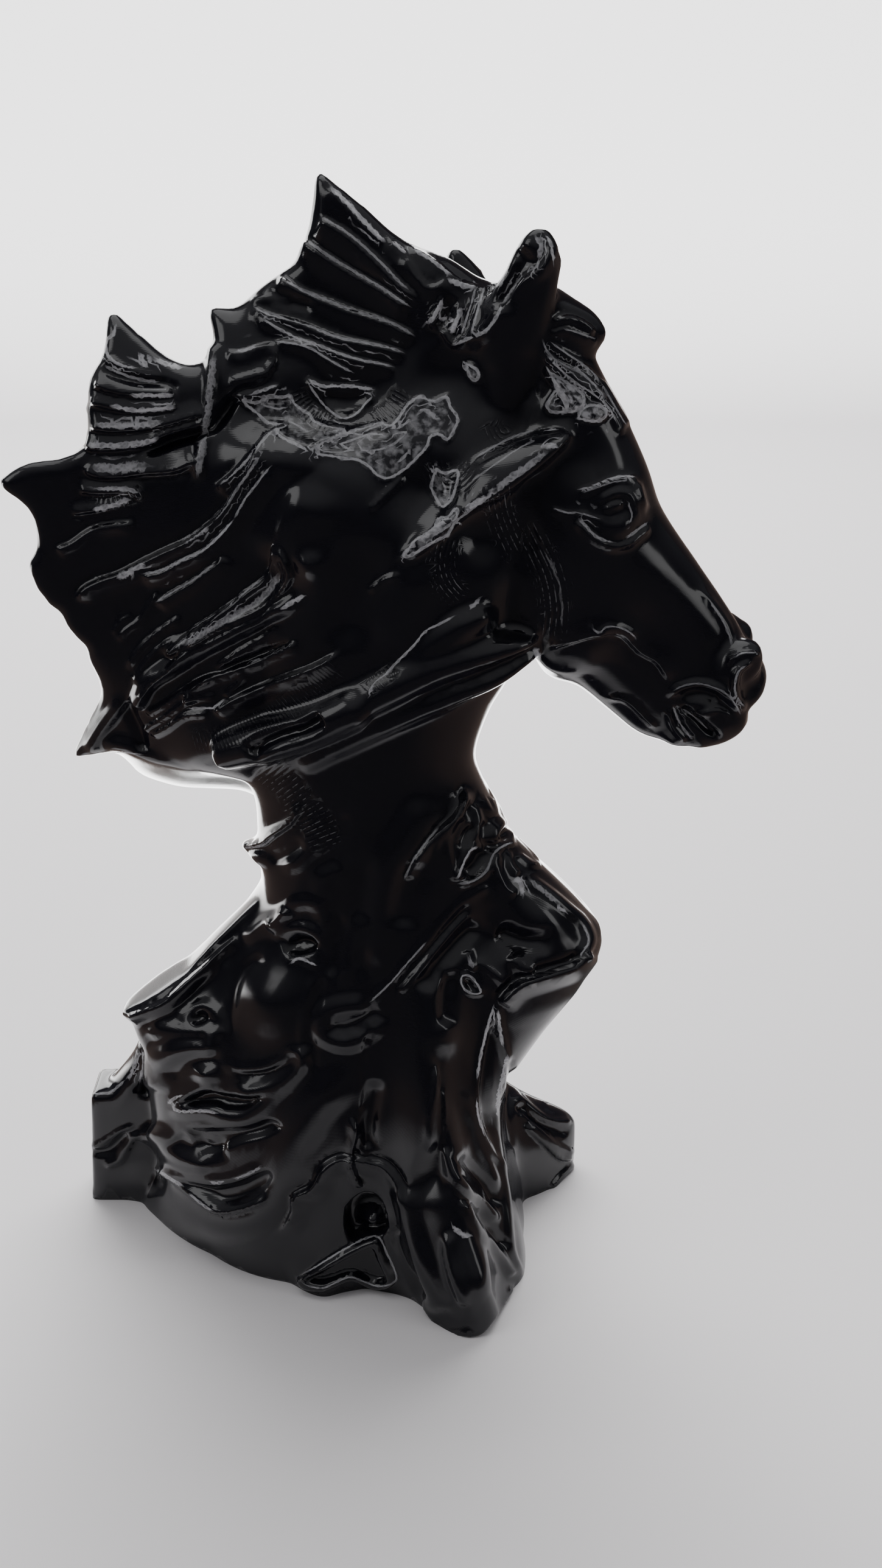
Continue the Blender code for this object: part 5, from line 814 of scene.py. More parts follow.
# The base: a core of oval rings up to the neck, drawn out by lobes of drapery. A lobe has a direction
# and spread in degrees, and how far it reaches at heights of its own
base = {
    "neck": [
        (-11, 58, 40, 54, 20), (-10, 72, 40, 70, 19.5), (-10, 82, 39.5, 82, 18), (-10.3, 92, 38, 94, 16.6),
        (-10.5, 100, 34.5, 101.5, 15.6), (-12.5, 107, 32.3, 109, 15.2), (-14, 118, 35, 118.5, 15.6),
        (-13, 132, 39, 126, 16.8), (-11, 146, 43, 136, 17.6), (-8, 158, 45, 147, 17.6),
        (-4, 167, 46, 158, 16.2), (2, 172, 47, 166, 13.5), (10, 179, 48, 174, 9.5),
        (20, 189, 48, 182, 7.5), (28, 196, 48, 189, 5.0),
    ],
    "rings": [-12, -4, 0, 5, 11, 18, 26, 34, 42, 50, 58, 66, 74, 82, 90, 97],
    "coreHeights": [-4, 0, 12, 25, 38, 50, 62, 74, 86, 98],
    "coreMiddle": [(6, 5), (6, 5), (6, 5), (6, 5), (6.5, 5), (7.5, 5), (9.5, 5), (11.5, 4.5), (13.5, 4),
        (13, 4)],
    "coreReach": [(36, 29), (36, 29), (35, 28), (33, 26.5), (31.5, 25.5), (29.5, 24), (26, 22),
        (23.5, 19.5), (22.5, 17.5), (21.5, 16)],
    "lobes": {
        "frontFoot": (-56, 11, [(-4, 17), (0, 18), (12, 18), (20, 13.5), (32, 10), (45, 8.5), (58, 5.5),
            (72, 2), (82, 0)]),
        "frontWall": (-34, 15, [(-4, 8.5), (0, 8.5), (12, 8), (25, 5.5), (45, 2), (55, 0)]),
        "rightFoot": (19, 10, [(-4, 20), (0, 20), (11, 19), (14, 16), (19, 9), (25, 3), (30, 0)]),
        "chest": (-3, 30, [(30, 0), (36, 1), (41, 5), (50, 11.5), (59, 19), (66, 22.6), (70.5, 23.6),
            (76, 18.6), (85, 9.5), (92, 3.5), (98, 0)]),
        "leftPeak": (179, 24, [(0, 2.5), (12, 5), (25, 8), (36, 10.5), (41, 11.5), (46, 15), (50, 16.5),
            (54, 14.4), (60, 9), (67, 5), (74, 2.4), (80, 0), (86, 0)]),
        "leftBelly": (-150, 26, [(-4, -1.5), (0, -1), (8, 1.5), (16, 3), (30, 2.5), (44, 1), (55, 0)]),
        "backLeft": (140, 22, [(-4, 10), (0, 10), (15, 9), (35, 5), (60, 1), (70, 0)]),
        "backFoot": (75, 20, [(-4, 8), (0, 8), (14, 6), (34, 3), (55, 0)]),
    },
    "hem": [(-180, 45.0), (-174, 41.8), (-162, 37.4), (-150, 33.0), (-136, 30.8), (-124, 29.0),
        (-114, 27.6), (-105, 29.4), (-98, 30.2), (-91, 28.2), (-81, 27.2), (-70, 30.4), (-65, 33.4),
        (-62, 42.0), (-58, 48.2), (-53, 48.8), (-49, 46.4), (-42, 44.3), (-33, 43.8), (-16, 38.8),
        (2, 37.4), (6, 43.6), (10, 47.6), (15, 52.0), (20, 50.0), (26, 43.0), (36, 37.0), (60, 35.0),
        (75, 38.0), (90, 36.0), (110, 34.5), (130, 37.5), (150, 41.0), (165, 43.5), (180, 45.0)],
    "hemHeight": 15.0,
    "block": {"place": (-40.2, 12.0, 7.8), "size": (24.4, 11.2, 40), "lean": 3.0},
    "fold": [
        (-35.6, 44.0, 10, 1.4, 1.6, 2.4), (-37.4, 38.6, 10.5, 2.2, 2.4, 4.0),
        (-40.0, 33.2, 11, 3.4, 3.4, 5.0),
        (-42.8, 28.6, 11.5, 4.2, 4.0, 5.2),
    ],
    "shoulder": [
        (-9.6, 78.0, 2, 0.8, 5.0, 3.0), (-13.8, 73.8, 2, 0.8, 5.0, 3.4), (-20.9, 66.3, 2, 0.8, 5.0, 4.0),
        (-25.4, 61.3, 2, 0.8, 5.0, 5.0), (-29.3, 58.4, 2, 0.8, 5.0, 5.6), (-33.9, 55.2, 2, 0.7, 4.6, 5.4),
        (-38.6, 51.8, 2, 0.6, 3.0, 3.6), (-40.4, 50.2, 2, 0.4, 1.0, 1.6),
    ],
    "strokes": [
        ("ridge", 6.2, 1.17, 0.1, 0.15, [(-42.3, 12.7), (-39.6, 6.7), (-35.2, 0.8), (-29.2, -3.6),
            (-21.9, -5.2), (-15.8, -2.9), (-11.2, 2.9), (-8.1, 11.1), (-5.4, 18.6), (-1.5, 26.2),
            (3.9, 32.1), (9.7, 36.7)]),
        ("lap", 3.2, 0.98, 0.1, 0.1, [(-36.9, 11.2), (-33.8, 8), (-30.5, 4.4), (-26.9, 0.8), (-23.3, -1.4),
            (-18.8, -0.9), (-14.3, 0.9), (-11.2, 2.9)]),
        ("ridge", 1.9, 0.35, 0.1, 0.1, [(-36.7, 10.6), (-31.8, 8.5), (-25.9, 7.2), (-19.9, 7.7),
            (-12.9, 11.2)]),
        ("ridge", 4.1, 0.98, 0.15, 0.15, [(-38.5, 21.8), (-34.8, 18), (-31.7, 14.1), (-27.9, 12.2),
            (-23.7, 11.2)]),
        ("groove", 3.5, 0.85, 0.1, 0.15, [(-31.8, 18.6), (-28.7, 15.9), (-24.2, 14.3), (-20.2, 15.4)]),
        ("ridge", 2.4, 0.45, 0.06, 0.1, [(-32.4, 26.6), (-29.4, 25.2), (-24.2, 25.2), (-20.4, 23.5),
            (-16.5, 23.4), (-12.9, 25.9), (-9.5, 29.3), (-5.5, 33.3), (-3.2, 37.7), (-2.2, 42.7)]),
        ("ridge", 2, 0.4, 0.08, 0.1, [(-31.6, 27), (-29.1, 29.3), (-25.4, 31.3), (-21.5, 31.5)]),
        ("ridge", 4.9, 0.98, 0.1, 0.1, [(-35.8, 30.1), (-34.6, 35.8), (-30.5, 40.3), (-25.8, 42),
            (-20.7, 41.2)]),
        ("groove", 3.2, 0.72, 0.15, 0.15, [(-32.1, 33.6), (-28.6, 37.7), (-24.1, 38.8), (-20.7, 37.7)]),
        ("ridge", 2.7, 0.5, 0.1, 0.1, [(-35.8, 44.2), (-31.3, 46), (-24.3, 46), (-19, 44.5)]),
        ("ridge", 2.2, 0.4, 0.1, 0.1, [(-28, 47.2), (-26.2, 50.5), (-23.7, 51.8), (-21.3, 50.5),
            (-19.7, 47.2), (-19.7, 44.2)]),
        ("groove", 2.7, 0.5, 0.1, 0.1, [(-36.6, 42.7), (-30.8, 42.7), (-22.5, 43.3)]),
        ("ridge", 2.2, 0.4, 0.1, 0.15, [(-20.1, 38.5), (-17.8, 36.2), (-14, 35.9), (-10.1, 37),
            (-6.5, 39.6), (-4.6, 42.9)]),
        ("groove", 2.7, 0.5, 0.1, 0.15, [(-16.7, 33.6), (-11.1, 33.9), (-6.9, 36.7), (-4.5, 40.8)]),
        ("ridge", 3, 0.72, 0.15, 0.15, [(-18.8, 29.6), (-12.3, 30.8), (-7, 34.5), (-3.8, 38.8),
            (-3.2, 43)]),
        ("lapR", 3.4, 1.4, 0.06, 0.15, [(-40.1, 49.2), (-35.3, 51.2), (-31.4, 53.4), (-27.4, 57.1),
            (-23.4, 61), (-19.2, 65.3), (-14.3, 69.5)]),
        ("ridge", 2.7, 0.5, 0.15, 0.2, [(-35.6, 46.9), (-31.9, 49.9), (-28.6, 53.4), (-25.1, 57.8),
            (-21, 60.1), (-17.3, 63.9)]),
        ("ridge", 2.2, 0.4, 0.15, 0.2, [(-34.2, 46), (-30.4, 49), (-28.2, 51.7)]),
        ("groove", 2.4, 0.45, 0.1, 0.1, [(-19.8, 44.2), (-17.7, 50.5), (-16.4, 56.1), (-14.1, 60.4),
            (-9.6, 63.3)]),
        ("ridge", 1.7, 0.42, 0.1, 0.15, [(-2.4, 34.7), (-2.7, 43.8), (-1.5, 52.7), (0.3, 59.3)]),
        ("groove", 1.9, 0.48, 0.1, 0.15, [(-1.1, 34.7), (-1.6, 43.8), (-0.3, 52), (1.4, 59.3)]),
        ("ridge", 1, 0.5, 0.1, 0.1, [(-49.7, 15.7), (-46.2, 18.1), (-42.8, 20.5), (-39.8, 21.8)]),
        ("groove", 1.6, 0.8, 0.1, 0.1, [(-49.8, 14.1), (-46.1, 14.9), (-43.5, 17.3), (-41.3, 19.6)]),
        ("ridge", 1.5, 0.8, 0.1, 0.15, [(-47.4, 11.1), (-44, 12.7), (-42.2, 15.9), (-40.5, 18.9),
            (-38.2, 18.9)]),
        ("groove", 0.9, 0.5, 0.08, 0.1, [(10.4, 45.7), (9.4, 38.5), (9.4, 29.3), (8.3, 24.3)]),
        ("lapR", 2.4, 1.5, 0.15, 0.1, [(7.2, 24.3), (7.6, 19.6), (6.7, 14.3), (7.1, 9.9), (8.9, 5)]),
        ("ridge", 1.3, 0.7, 0.2, 0.1, [(7.7, 23), (8.5, 16.7), (9.4, 12.5)]),
        ("groove", 2.6, 1.2, 0.2, 0.15, [(12.3, 33.9), (11, 27.7), (10, 19.9), (10.1, 14.3)]),
        ("lapR", 5, 1.6, 0.12, 0.12, [(-10.6, -7.9), (-7.3, -1.2), (-6.6, 3.4), (-2.5, 6.4), (0, 11.2),
            (4.1, 13.8), (9.3, 13.2), (13.9, 11.6), (17.1, 6.7), (19.2, -0.4)]),
        ("ridge", 3.4, 1.7, 0.12, 0.12, [(17.7, 6.2), (18.7, -2.1), (20.5, -11.3), (23.2, -20.8),
            (27.6, -30.4)]),
        ("groove", 2.4, 1.2, 0.12, 0.15, [(15.7, -4.6), (17, -11.3), (19.6, -19), (22.3, -26)]),
        ("ridge", 1.6, 0.8, 0.15, 0.15, [(15.9, -6.2), (17.8, -13), (20.4, -19.6)]),
        ("groove", 5.4, 2.6, 0.2, 0.2, [(25.4, 44.5), (27, 32.4), (26.8, 19.9), (24, 8.6), (22.4, -1.2)]),
        ("ridge", 1.5, 0.8, 0.15, 0.15, [(25.2, 37.6), (24.7, 30.8), (23.3, 22.3), (23, 12.7)]),
        ("ridge", 1.1, 0.6, 0.2, 0.2, [(27.7, 31.6), (28.1, 24.6), (27.5, 18.3)]),
        ("ridge", 2, 1, 0.08, 0.1, [(26.7, 15.1), (28, 9.3), (31.5, 4.4), (35.5, 0.1), (38, -4.6)]),
        ("ridge", 1.8, 0.9, 0.08, 0.08, [(30.2, 1.8), (34, -5.6), (38.1, -12.3), (42.1, -19.6)]),
        ("groove", 2, 1, 0.15, 0.15, [(33.1, -0.4), (36.7, -5.9), (40.2, -11.7)]),
        ("groove", 1.8, 0.9, 0.15, 0.15, [(29.3, 14.3), (32.4, 10.3), (35.7, 5.4), (38.2, -0.4)]),
        ("ridge", 1.6, 0.8, 0.15, 0.15, [(30.9, 31.6), (31.9, 24.6), (33.8, 16.7), (36.7, 9.5),
            (38.1, 3.7)]),
        ("ridge", 1.3, 0.7, 0.06, 0.06, [(37.2, 53.4), (35.3, 46), (33.8, 37.7), (33.2, 30.1), (33.8, 22.3),
            (36, 15.4), (38.6, 11.1), (40, 3.7), (40.7, -5.4), (41.6, -13), (44.2, -19.9)]),
        ("groove", 1.8, 0.9, 0.1, 0.15, [(36.5, 47.5), (35.3, 39.3), (34.9, 30.8), (35.7, 23),
            (37.6, 16.7)]),
        ("ridge", 1.4, 0.7, 0.06, 0.1, [(37.2, 52.3), (37.9, 46.8), (38.9, 41.2), (39.5, 36.7),
            (38.3, 29.3), (38, 21.8), (38.8, 14.3), (40.2, 7.8)]),
        ("groove", 1.7, 0.8, 0.1, 0.1, [(39.9, 39.3), (40.3, 30.8), (39.7, 23), (40.3, 15.1)]),
        ("ridge", 1.4, 0.7, 0.06, 0.08, [(41.4, 29.8), (45.4, 25.4), (48.8, 23), (53.8, 22.6)]),
        ("groove", 1.6, 0.8, 0.1, 0.1, [(41.9, 27.4), (45.9, 23), (50.6, 20.5), (53.2, 18.9)]),
        ("ridge", 1.4, 0.7, 0.06, 0.08, [(42.5, 25.4), (46.5, 20.5), (50.5, 16.4), (54.7, 14.3)]),
        ("lap", 3, 1.2, 0.1, 0.1, [(43.1, 21.5), (47.7, 16.4), (51.2, 12.8), (54.7, 12.8)]),
        ("ridge", 1.2, 0.6, 0.1, 0.1, [(54.8, 11.9), (51.8, 8.3), (49.6, 4.4)]),
        ("lap", 3.6, 1.6, 0.1, 0.1, [(21, -24.3), (24.4, -31.8), (28.5, -35.4), (33.8, -35.8), (37, -31.3),
            (40.2, -25.1), (42.8, -21)]),
        ("ridge", 2.2, 1.1, 0.15, 0.15, [(27.1, -6.2), (27.8, -13.9), (29.5, -21.6), (31.7, -28.7)]),
        ("ridge", 5, 0.96, 0.15, 0.15, [(23.4, 100.5), (20.6, 93.9), (17, 87.2), (14.2, 79), (12.6, 69.3),
            (11.7, 59.3)]),
        ("groove", 4.3, 0.78, 0.2, 0.2, [(10.7, 87.2), (10, 76.3), (9, 65), (8.2, 56.4)]),
        ("ridge", 2.9, 0.72, 0.2, 0.2, [(9.9, 73.5), (7.8, 65), (5.4, 57.1)]),
        ("groove", 2.6, 0.66, 0.2, 0.2, [(5.5, 73.5), (4.3, 65), (3.3, 57.8)]),
        ("groove", 5.3, 0.84, 0.2, 0.2, [(21.5, 85.9), (18.8, 77.7), (17.1, 69.3)]),
        ("lapR", 3, 1.5, 0.08, 0.08, [(18.3, 80.7), (20.3, 85.6), (22.8, 89.4), (25.4, 92.9), (27.8, 95.5),
            (30.1, 101.8)]),
        ("ridge", 1, 0.5, 0.1, 0.1, [(25.2, 84.8), (24.9, 89.2), (26.4, 93.1)]),
        ("ridge", 1.8, 0.48, 0.06, 0.05, [(35.5, 80.1), (30.6, 76.3), (26.6, 71.8), (22.9, 67),
            (18.9, 61.9), (15.1, 56.9), (10.8, 52.3)]),
        ("groove", 1.6, 0.42, 0.06, 0.06, [(31.5, 75.2), (27, 70), (23.3, 65), (19.2, 59.7), (15.7, 55.2)]),
        ("ridge", 1.4, 0.7, 0.08, 0.06, [(31.9, 73.5), (27.9, 69), (24.1, 64.2), (20.4, 59), (17, 54.6)]),
        ("groove", 3, 1.4, 0.15, 0.15, [(33.8, 70.7), (28.9, 65.7), (24.5, 60), (21.4, 54.9)]),
        ("ridge", 3.6, 0.9, 0.1, 0.15, [(11.3, 52), (6.5, 51.7), (2.7, 50.5), (0.5, 47.2), (2.3, 43.9),
            (6.3, 42.7), (10.7, 45.3), (15, 49)]),
        ("groove", 2.6, 0.66, 0.12, 0.12, [(2.6, 47.2), (5.1, 46), (9.3, 47.8), (13.5, 50.8)]),
        ("groove", 1.4, 0.36, 0.1, 0.1, [(7.4, 45.7), (10.4, 45.7), (10.6, 42.7)]),
        ("ridge", 1.3, 0.7, 0.06, 0.06, [(28.8, 80.1), (32, 80.7), (34.8, 83.2), (36.2, 87), (38.4, 88.8),
            (40.5, 89.5)]),
        ("ridge", 1.3, 0.7, 0.06, 0.06, [(28.8, 81), (30, 84.8), (31.4, 87.8), (33.1, 88.3)]),
        ("groove", 2.4, 1.2, 0.12, 0.12, [(30.2, 82.1), (32.7, 84.5), (34.3, 87.8)]),
        ("ridge", 1.6, 0.8, 0.1, 0.1, [(28.8, 80.4), (27.3, 84.5), (26.6, 89.2), (27.8, 94.6),
            (29.7, 100.3)]),
        ("ridge", 1.4, 0.7, 0.1, 0.1, [(30, 87.9), (31.9, 90.6), (33, 93.9), (32.1, 97.9)]),
        ("ridge", 1.2, 0.6, 0.1, 0.1, [(29.3, 93.9), (29.9, 96.6), (31.1, 99.2)]),
        ("ridge", 1.4, 0.7, 0.1, 0.1, [(33.5, 99.2), (34.9, 96.6), (36.1, 96.3), (35.4, 99.5)]),
        ("ridge", 2.2, 1.1, 0.1, 0.1, [(35.4, 89.2), (36.5, 92.3), (38.3, 93.7), (40.5, 90.6)]),
        ("groove", 1.8, 0.9, 0.1, 0.1, [(34.1, 93.9), (34.8, 89.9), (35.5, 87.2)]),
        ("ridge", 1.4, 0.7, 0.1, 0.1, [(37, 87), (36.8, 83.2), (38.8, 78.8), (41, 77.7)]),
        ("ridge", 1.2, 0.6, 0.1, 0.1, [(38.9, 87.5), (39.4, 84.5), (41.2, 82.1)]),
        ("ridge", 1.4, 0.7, 0.08, 0.1, [(40.8, 86.6), (43.5, 84.5), (45.5, 84.8)]),
        ("ridge", 2, 1, 0.1, 0.05, [(42.4, 81.8), (46.5, 78.2), (50.2, 74.6), (53.9, 71.4), (55.7, 67.1),
            (53.7, 63)]),
        ("lapR", 5, 2.2, 0.06, 0.08, [(37.1, 52.8), (41.4, 57.5), (47.6, 60.1), (52.5, 62.1),
            (55.1, 65.6)]),
        ("groove", 4, 1.8, 0.2, 0.2, [(37.5, 69.3), (42.4, 67.1), (48.6, 67.1)]),
        ("ridge", 2.6, 1.2, 0.15, 0.15, [(40.3, 63.6), (42.3, 60.7), (45.1, 59.8)]),
        ("ridge", 0.9, 0.5, 0.02, 0.02, [(29.8, 57.5), (30.1, 58.8), (31.7, 58.7), (33.4, 56.4),
            (33.9, 54.8), (32.4, 54.5), (30.5, 55.6), (29.8, 57.5)]),
        ("ridge", 1.6, 0.8, 0.1, 0.15, [(31.1, 64.3), (32, 61.4), (33.2, 60.4)]),
        ("ridge", 1.4, 0.7, 0.1, 0.1, [(33.6, 62.4), (36.1, 59.6), (39.1, 56.7)]),
        ("groove", 3, 1.4, 0.2, 0.2, [(28.2, 60.7), (27, 53.4), (27, 46)]),
        ("ridge", 2.6, 0.66, 0.1, 0.12, [(-15, 67.1), (-10.5, 70.5), (-6.7, 73.3), (-3.6, 75.6),
            (-0.3, 75.7), (2.1, 72.4), (3, 66.7)]),
        ("ridge", 1.8, 0.48, 0.1, 0.12, [(-8.4, 68.3), (-5.6, 69.8), (-2.2, 70.1), (0.5, 68.6),
            (1.9, 65.6)]),
        ("groove", 2.4, 0.6, 0.15, 0.15, [(-6.8, 65.6), (-3.3, 67.1), (0.4, 64.7)]),
        ("ridge", 1.2, 0.3, 0.1, 0.1, [(-5.2, 61.6), (-3.2, 63), (-1.2, 61.9), (0.5, 61.6)]),
        ("ridge", 2, 1, 0.15, 0.15, [(-4.5, 74.6), (-6.8, 71.4), (-9.3, 70)]),
        ("lap", 2.6, 1.3, 0.06, 0.15, [(-13.6, 88), (-9.7, 88.6), (-7, 90.7), (-3.3, 93.7), (-1, 97.9)]),
        ("groove", 2.4, 0.6, 0.15, 0.2, [(-8.7, 85.9), (-5, 86.6), (-1.3, 89.9)]),
        ("ridge", 3.1, 0.72, 0.2, 0.2, [(1.3, 96.6), (1.2, 91.3), (-2, 85.9), (-6.4, 82.9)]),
        ("groove", 3.6, 0.6, 0.2, 0.2, [(6.1, 96.6), (4.7, 88.6), (0.9, 81.8)]),
        ("ridge", 3.4, 0.6, 0.2, 0.2, [(5.8, 84.5), (2, 79.7), (3.1, 73.5)]),
    ],
    "panels": [
        (-1.9, 1.4, [(-30.3, 27.1), (-27.6, 29.6), (-23.9, 31), (-21.1, 30.2), (-16, 29.5), (-11, 29.6),
            (-13.1, 27.3), (-16.2, 25.2), (-20.3, 25.2), (-22.9, 26.2), (-26.8, 25.9)]),
        (-1.6, 2.2, [(-33.7, 9.5), (-29.2, 7.3), (-24, 6), (-18, 7.3), (-11.9, 10.6), (-10, 8.6),
            (-11.6, 4.6), (-15.6, 1.4), (-19.7, -0.2), (-23.5, -0.2), (-26.9, 2.4), (-30.6, 6)]),
        (-1.2, 1.4, [(-26.9, 48.1), (-25.6, 50.2), (-23.7, 50.9), (-22.2, 49.3), (-22.9, 47.5),
            (-25.3, 46.6)]),
        (-1.3, 2.0, [(-19.4, 37.3), (-15.7, 35.8), (-10.5, 36.5), (-6.6, 38.8), (-4.9, 41.2), (-5.9, 37.3),
            (-9.6, 34.2), (-14.1, 33.3), (-17.9, 34.2)]),
        (-1.5, 2.4, [(-29.6, 21.5), (-23.1, 21.5), (-16.6, 21.8), (-11.3, 23.8), (-7.5, 21.5),
            (-11.5, 18.3), (-16.8, 16.7), (-23.6, 13.5), (-27.7, 14.8)]),
        (-3.8, 1.5, [(4.5, 0.1), (6.7, 2.7), (9.1, 4.1), (11.8, 3.1), (13.6, -0.4), (14.4, -4.6),
            (13.2, -7.6), (9.7, -8.6), (6.2, -10.3), (4.2, -6.2)]),
        (1.6, 1.0, [(-6.9, -19.6), (-2.1, -16.1), (3.4, -11.8), (8.9, -8.3), (12.2, -7.9), (14, -12.7),
            (16.1, -19.2), (14.8, -22), (11.4, -22.7), (8.4, -21.6), (5.3, -20.3), (1.8, -22), (-1, -23.4),
            (-5, -22.7)]),
        (-2.0, 0.8, [(-4.7, -19.4), (-0.8, -16.8), (3.7, -13.7), (8.9, -10.5), (11, -10.5), (12.3, -14.1),
            (14.2, -19.2), (13.3, -20.4), (10.9, -20.6), (8.7, -19.6), (5.3, -18.4), (1.9, -19.9),
            (-0.9, -21), (-3.3, -20.6)]),
        (-1.0, 0.8, [(30.4, 57.2), (30.6, 58.1), (31.6, 57.8), (32.9, 56.1), (33.2, 55.2), (32.2, 55.2),
            (30.9, 56.1)]),
        (-1.6, 1.4, [(-6.2, 67.1), (-3.2, 68.4), (-0.2, 67.4), (0.4, 64.7), (-2.8, 63.3), (-5.9, 63.9)]),
        (-1.0, 1.2, [(29.9, 92.3), (31.7, 93.7), (32.8, 92.6), (32.1, 89.2), (30.2, 87.8), (28.8, 89.2)]),
        (-0.9, 1.0, [(29.3, 94.6), (29.7, 97.6), (30.9, 99.2), (31.6, 97.2), (30.9, 94.6)]),
        (-1.0, 1.2, [(35.7, 89.4), (36.7, 92.1), (38.6, 93.4), (39.8, 91), (38.1, 89.7)]),
    ],
    # pale lines along edges and folds: partly rubbed wear, partly painted highlights where they catch the
    # light
    "wearAndHighlights": [
        (0.9, 0.7, [(-32.4, 27), (-31.3, 28.4), (-29.1, 29.5)]),
        (0.9, 0.8, [(-31.9, 26), (-29.4, 25.2), (-25.5, 25.4), (-21.9, 24.8)]),
        (0.9, 0.9, [(-36.2, 10.3), (-34.4, 8.6), (-31.7, 6.4), (-30.3, 5.4)]),
        (0.8, 0.6, [(-29.4, 3.7), (-26.9, 0.9), (-24.6, -1.1)]),
        (0.7, 0.8, [(-24.6, 6.7), (-22.9, 6.4), (-21.5, 7)]),
        (0.6, 0.7, [(-19.3, 7.5), (-15.9, 9), (-13.2, 10.9)]),
        (0.9, 0.6, [(-5, 61.9), (-3.2, 63), (-1.2, 62), (0.3, 61.4)]),
        (0.8, 0.45, [(-6.7, -19.6), (-2.1, -16.5), (3.4, -12.2), (8.9, -8.8), (11.9, -8.4), (13.7, -13),
            (15.7, -19.2), (14.6, -21.5), (11.4, -22.2), (8.7, -21), (5.3, -19.6), (1.8, -21.3),
            (-0.9, -22.7), (-4.3, -22), (-6.3, -20.3)]),
        (0.8, 0.45, [(29.8, 57.5), (30.1, 58.8), (31.7, 58.7), (33.4, 56.4), (33.9, 54.8), (32.4, 54.5),
            (30.5, 55.6), (29.8, 57.5)]),
        (0.9, 0.5, [(29, 81.2), (30.2, 84.8), (31.5, 87.6), (33.1, 88.4)]),
        (0.6, 0.5, [(28.8, 80.1), (32, 80.7), (34.8, 83.2), (36.2, 87), (38.4, 88.8), (40.2, 89.5)]),
        (1.0, 1.0, [(40, 80.4), (41.2, 81.2), (41.7, 79.6), (42.2, 77.4)]),
        (0.6, 0.9, [(43.1, 81.2), (46.5, 78.2), (49.4, 75.4)]),
        (0.9, 0.7, [(49, 74.9), (50.9, 73.8)]),
        (0.8, 0.4, [(54.3, 71), (55.7, 67.1), (53.9, 63.3)]),
        (0.9, 1.2, [(28.6, -4.9), (29.9, -7.3), (32.1, -8.3)]),
        (1.0, 0.6, [(36.7, 52), (35.3, 46), (33.9, 38.5), (33.3, 33.2)]),
        (1.0, 0.5, [(33.3, 28.5), (33.7, 23.8), (35.6, 18)]),
        (1.0, 0.7, [(37.5, 50.5), (38, 46), (38.6, 41.8)]),
        (1.0, 1.0, [(39.7, 39.7), (39, 34.7), (38, 29.3), (38.1, 23)]),
        (0.6, 0.4, [(18.3, 81), (20.3, 85.7), (22.8, 89.5), (25.4, 92.9)]),
        (0.6, 0.4, [(10.8, 52.3), (15.1, 56.9), (18.9, 61.9), (22.9, 67)]),
        (0.5, 1.0, [(31.3, 63.3), (32.2, 60.7)]),
        (0.5, 0.5, [(-13.4, 88.2), (-9.7, 88.7), (-7, 90.9)]),
        (0.7, 0.8, [(-40.2, 33.2), (-38.6, 37.7), (-37.8, 41.2)]),
        (0.7, 0.6, [(-38.2, 32.7), (-36.9, 37), (-36.8, 40.6)]),
        (0.5, 0.6, [(-48.5, 29.8), (-44.6, 30.1), (-41.1, 33.2)]),
    ],
    "swells": [
        (3, 96, 6, 6, 0, -0.6), (-9.3, 52.3, 6.5, 8.5, 8, 2.8), (37, 68, 7, 7, 0, -3.0),
        (46, 72, 6, 6, 0, 1.4), (4, 74, 5, 10, 0, -0.8), (10.6, -3.9, 2.4, 2.4, 0, 4.2),
        (-23.6, 34.9, 2.4, 2.2, 0, 1.5), (-36, 19.6, 3.0, 2.2, 0, 1.0), (-1.5, 6.7, 5, 6, 0, 0.8),
    ],
}


def acrossRows(height, rows):              # a pair of values between the core's heights
    return [np.interp(height, base["coreHeights"], [row[k] for row in rows]) for k in (0, 1)]


def baseReach(angle, height):
    along, across = acrossRows(height, base["coreReach"])
    reach = 1 / math.hypot(math.cos(angle) / along, math.sin(angle) / across)
    for direction, spread, profile in base["lobes"].values():
        away = (math.degrees(angle) - direction + 180) % 360 - 180
        heights, reaches = zip(*profile)
        reach += np.interp(height, heights, reaches, right=0) * math.exp(-(away / spread) ** 2)
    return reach


def hemReach(angle, height):               # low down, the reach runs out to the hem's own outline
    hem = np.array(base["hem"], float)
    share = min(1, max(0, 1 - height / base["hemHeight"])) ** 1.5
    outline = float(np.interp(math.degrees(angle), hem[:, 0], hem[:, 1]))
    return baseReach(angle, height) * (1 - share) + outline * share


def makeBase():
    heights = smoothPath([(height,) for height in base["rings"]], 3)[:, 0]

    def place(ring, angle):
        height = float(heights[ring])
        centre = acrossRows(height, base["coreMiddle"])
        reach = hemReach(angle, height)
        return Vector((centre[0] + reach * math.cos(angle), centre[1] + reach * math.sin(angle), height))

    skinOverRings("base", len(heights), 160, place)
    trunk("neck", base["neck"])
    bm = bmesh.new()
    block = base["block"]
    place = Matrix.Translation(block["place"]) @ Matrix.Diagonal((*block["size"], 1))
    bmesh.ops.create_cube(bm, size=1, matrix=place)
    outer = [v for v in bm.verts if v.co.z > 0 and v.co.x < block["place"][0]]
    bmesh.ops.translate(bm, vec=(block["lean"], 0, 0), verts=outer)
    keepForm("block", bm)
    lock("fold", base["fold"])
    lock("shoulder", base["shoulder"], square=0.45)


